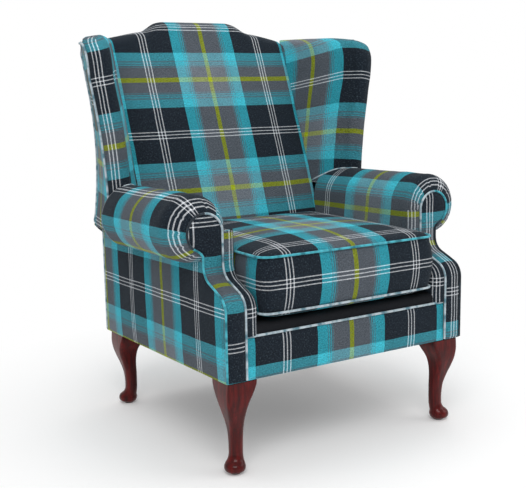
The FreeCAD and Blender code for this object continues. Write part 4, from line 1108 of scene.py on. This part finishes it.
def ticks(edges):
    """Finer places between four edges, closer together in the two outer spans."""
    out = []
    for a, b, n in zip(edges, edges[1:], (5, 24, 5)):
        out += [lerp(a, b, k / n) for k in range(n)]
    return out + [edges[-1]]


def dust_sheet():
    """Thin dark cloth under the frame, cut away round the legs."""
    leg_x, leg_front, leg_rear = 264, -309, 179
    rows = []
    for y in ticks([-387.7, leg_front, leg_rear, 275.7]):
        row = []
        for x in ticks([-341.7, -leg_x, leg_x, 341.7]):
            inside = (1 - (x / 342) ** 2) * (1 - ((y + 56) / 332) ** 2)
            z = bottom_at(y) + 0.9 - 3.0 * max(0.0, inside) + lump((x, y, 0), 60, 0.4)
            row.append((Vector((x, y, z)), (x, y)))
        rows.append(row)
    quads, points, weave = grid(rows)
    cells = []
    for cell in quads:
        x, y = ((points[cell[0]] + points[cell[2]]) / 2)[:2]
        if abs(x) < leg_x or leg_front < y < leg_rear:
            cells.append(cell)
    cloth = make("dust_cover_sheet", cells, points, weave, DARK_CLOTH, ["dust_cover"])


# Legs


def leg(name, x, y, across, along):
    """Cabriole leg, smooth through its rings: height, width, roundness and outward shift."""
    top = bottom_at(y) + 1.3
    square, ankle, foot, knee, reach, sole = 76.0, 33.0, 50.0, 13.0, 12.0, 3.0
    key = [
        (sole, foot * 0.62, 0.98, reach - 2), (sole + 5, foot * 0.9, 0.98, reach),
        (sole + 13, foot, 0.98, reach), (sole + 21, foot * 0.92, 0.98, reach - 1),
        (sole + 30, ankle * 1.12, 0.98, reach - 7), (sole + 44, ankle, 0.97, 1.5),
        (0.42 * top, ankle * 1.04, 0.84, 2.5), (0.55 * top, ankle * 1.18, 0.6, 7.5),
        (0.66 * top, ankle * 1.45, 0.46, knee - 1), (0.76 * top, square * 0.76, 0.34, knee),
        (0.86 * top, square * 0.91, 0.22, knee * 0.6), (0.94 * top, square * 0.99, 0.12, 2),
        (top - 1.6, square, 0.08, 0),
    ]
    smooth = []
    for a, b, c, d in zip(key[:1] + key, key, key[1:], key[2:] + key[-1:]):
        for k in range(6):
            t = k / 6
            item = []
            for m in range(4):
                slope_b = (c[m] - a[m]) / max(c[0] - a[0], 1e-6) * (c[0] - b[0])
                slope_c = (d[m] - b[m]) / max(d[0] - b[0], 1e-6) * (c[0] - b[0])
                h = (2 * t ** 3 - 3 * t ** 2 + 1) * b[m] + (t ** 3 - 2 * t ** 2 + t) * slope_b
                h += (-2 * t ** 3 + 3 * t ** 2) * c[m] + (t ** 3 - t ** 2) * slope_c
                item.append(h)
            item[0] = lerp(b[0], c[0], t)
            smooth.append(tuple(item))
    smooth.append(key[-1])
    rows = []
    for z, width, roundness, shift in smooth:
        radius = max(width / 2 * between(roundness, 0.0, 1.0), 2.5)
        outward = shift * math.sqrt(0.5)
        row = []
        for quarter in range(4):
            mid = math.radians(90 * quarter + 45)
            for step in range(12):
                angle = math.radians(90 * quarter + 90 * step / 11)
                u = math.copysign(width / 2 - radius, math.cos(mid)) + radius * math.cos(angle)
                v = math.copysign(width / 2 - radius, math.sin(mid)) + radius * math.sin(angle)
                px, py = x + u + across * outward, y + v + along * outward
                pz = min(z, bottom_at(py) - 0.1)
                row.append((Vector((px, py, pz)), (angle * 20, z)))
        rows.append(row)
    centre = middle_of(rows[0])
    rows.insert(0, [(p.lerp(centre, 0.7), w) for p, w in rows[0]])
    cells, points, weave = grid(rows, closed=True)
    make("carved_" + name, cells, points, weave, MAHOGANY, [name], merge=0.0)


def legs():
    half = 38.0
    px = SIDE - 5 - half
    for end, y, outward in (("front", FRONT + 5 + half, -1), ("rear", REAR - 18 - half, 1)):
        for sign in (1, -1):
            leg("leg_" + end + HAND[sign], sign * px, y, sign, outward)


inside_back()
outside_back()
apron()
for hand_sign in (1, -1):
    wing(hand_sign)
    outside_wing(hand_sign)
    wing_foot(hand_sign)
    arm(hand_sign)
    arm_front(hand_sign)
    facing(hand_sign)
    outside_arm(hand_sign)
    facing_trim(hand_sign)
    wing_trim(hand_sign)
back_trim()
border_trim()
cushion()
cushion_trim()
platform()
dust_sheet()
legs()

# Floor, light and camera

floor_mesh = bpy.data.meshes.new("floor")
floor_half = 14
floor_mesh.from_pydata([(x * floor_half, y * floor_half, 0) for x, y in ((-1, -1), (1, -1), (1, 1), (-1, 1))],
                       [], [(0, 1, 2, 3)])
floor = put("floor", floor_mesh)
floor_material, tree, shader = new_material("studio_floor")
settings(shader, {"Base Color": (*WHOLE, 1.0), "Roughness": 0.9, "Specular IOR Level": 0.1})
span = tree.nodes.new("ShaderNodeVectorMath")
span.operation = "LENGTH"
link(tree, place_of(tree), span.inputs[0])
far = calc(tree, "MAXIMUM", calc(tree, "MULTIPLY_ADD", span.outputs["Value"], 1.5, -0.6), 0.14)
far = calc(tree, "MINIMUM", far, 1.0)
glow = tree.nodes.new("ShaderNodeEmission")
settings(glow, {"Strength": 1.0})
paths = tree.nodes.new("ShaderNodeLightPath").outputs
mirrored = calc(tree, "MAXIMUM", paths["Is Glossy Ray"], paths["Is Transmission Ray"])
seen = calc(tree, "MAXIMUM", paths["Is Camera Ray"], mirrored)
blend = tree.nodes.new("ShaderNodeMixShader")
link(tree, calc(tree, "MULTIPLY", far, seen), blend.inputs[0])
link(tree, shader.outputs[0], blend.inputs[1])
link(tree, glow.outputs[0], blend.inputs[2])
link(tree, blend.outputs[0], tree.nodes["Material Output"].inputs["Surface"])
floor_mesh.materials.append(floor_material)

world = bpy.data.worlds.new("studio")
bpy.context.scene.world = world
world.use_nodes = True
sky = world.node_tree
back = sky.nodes["Background"]
settings(back, {"Color": (*WHOLE, 1.0)})
paths = sky.nodes.new("ShaderNodeLightPath").outputs
seen = calc(sky, "MAXIMUM", paths["Is Camera Ray"], paths["Is Transmission Ray"])
link(sky, calc(sky, "MULTIPLY_ADD", seen, 0.45, 0.55), back.inputs["Strength"])


def lamp(name, place, aim, size, power):
    """A soft rectangular lamp at a place in metres, aimed at a point of the chair."""
    light = bpy.data.lights.new(name, "AREA")
    light.shape = "RECTANGLE"
    light.size, light.size_y = size
    light.energy = power
    thing = put(name, light)
    thing.location = place
    thing.rotation_euler = (Vector(aim) - Vector(place)).to_track_quat("-Z", "Y").to_euler()


lamp("key", (-1.6, -2.6, 3.2), (0, 0, 0.5), (2.6, 2.0), 70)
lamp("fill", (3.0, -1.8, 2.0), (0, 0, 0.5), (2.4, 2.0), 22)
lamp("top", (0.3, 0.6, 3.6), (0, 0, 0.4), (2.6, 2.6), 40)

camera_data = bpy.data.cameras.new("camera")
camera_data.sensor_width = 36.0
camera_data.lens = 63.97
camera_data.clip_end = 60.0
camera = put("camera", camera_data)
eye = (-1.327, -2.121, 0.880)
turn, tilt, roll = math.radians(-32.03), math.radians(9.72), math.radians(-0.94)
ahead = Vector((-math.sin(turn) * math.cos(tilt), math.cos(turn) * math.cos(tilt), -math.sin(tilt)))
right = ahead.cross(Vector((0, 0, 1))).normalized()
up = right.cross(ahead)
right, up = right * math.cos(roll) + up * math.sin(roll), up * math.cos(roll) - right * math.sin(roll)
camera.matrix_world = Matrix([*zip(right, up, -ahead, eye), (0, 0, 0, 1)])
bpy.context.scene.camera = camera
bpy.context.scene.view_settings.view_transform = "Standard"
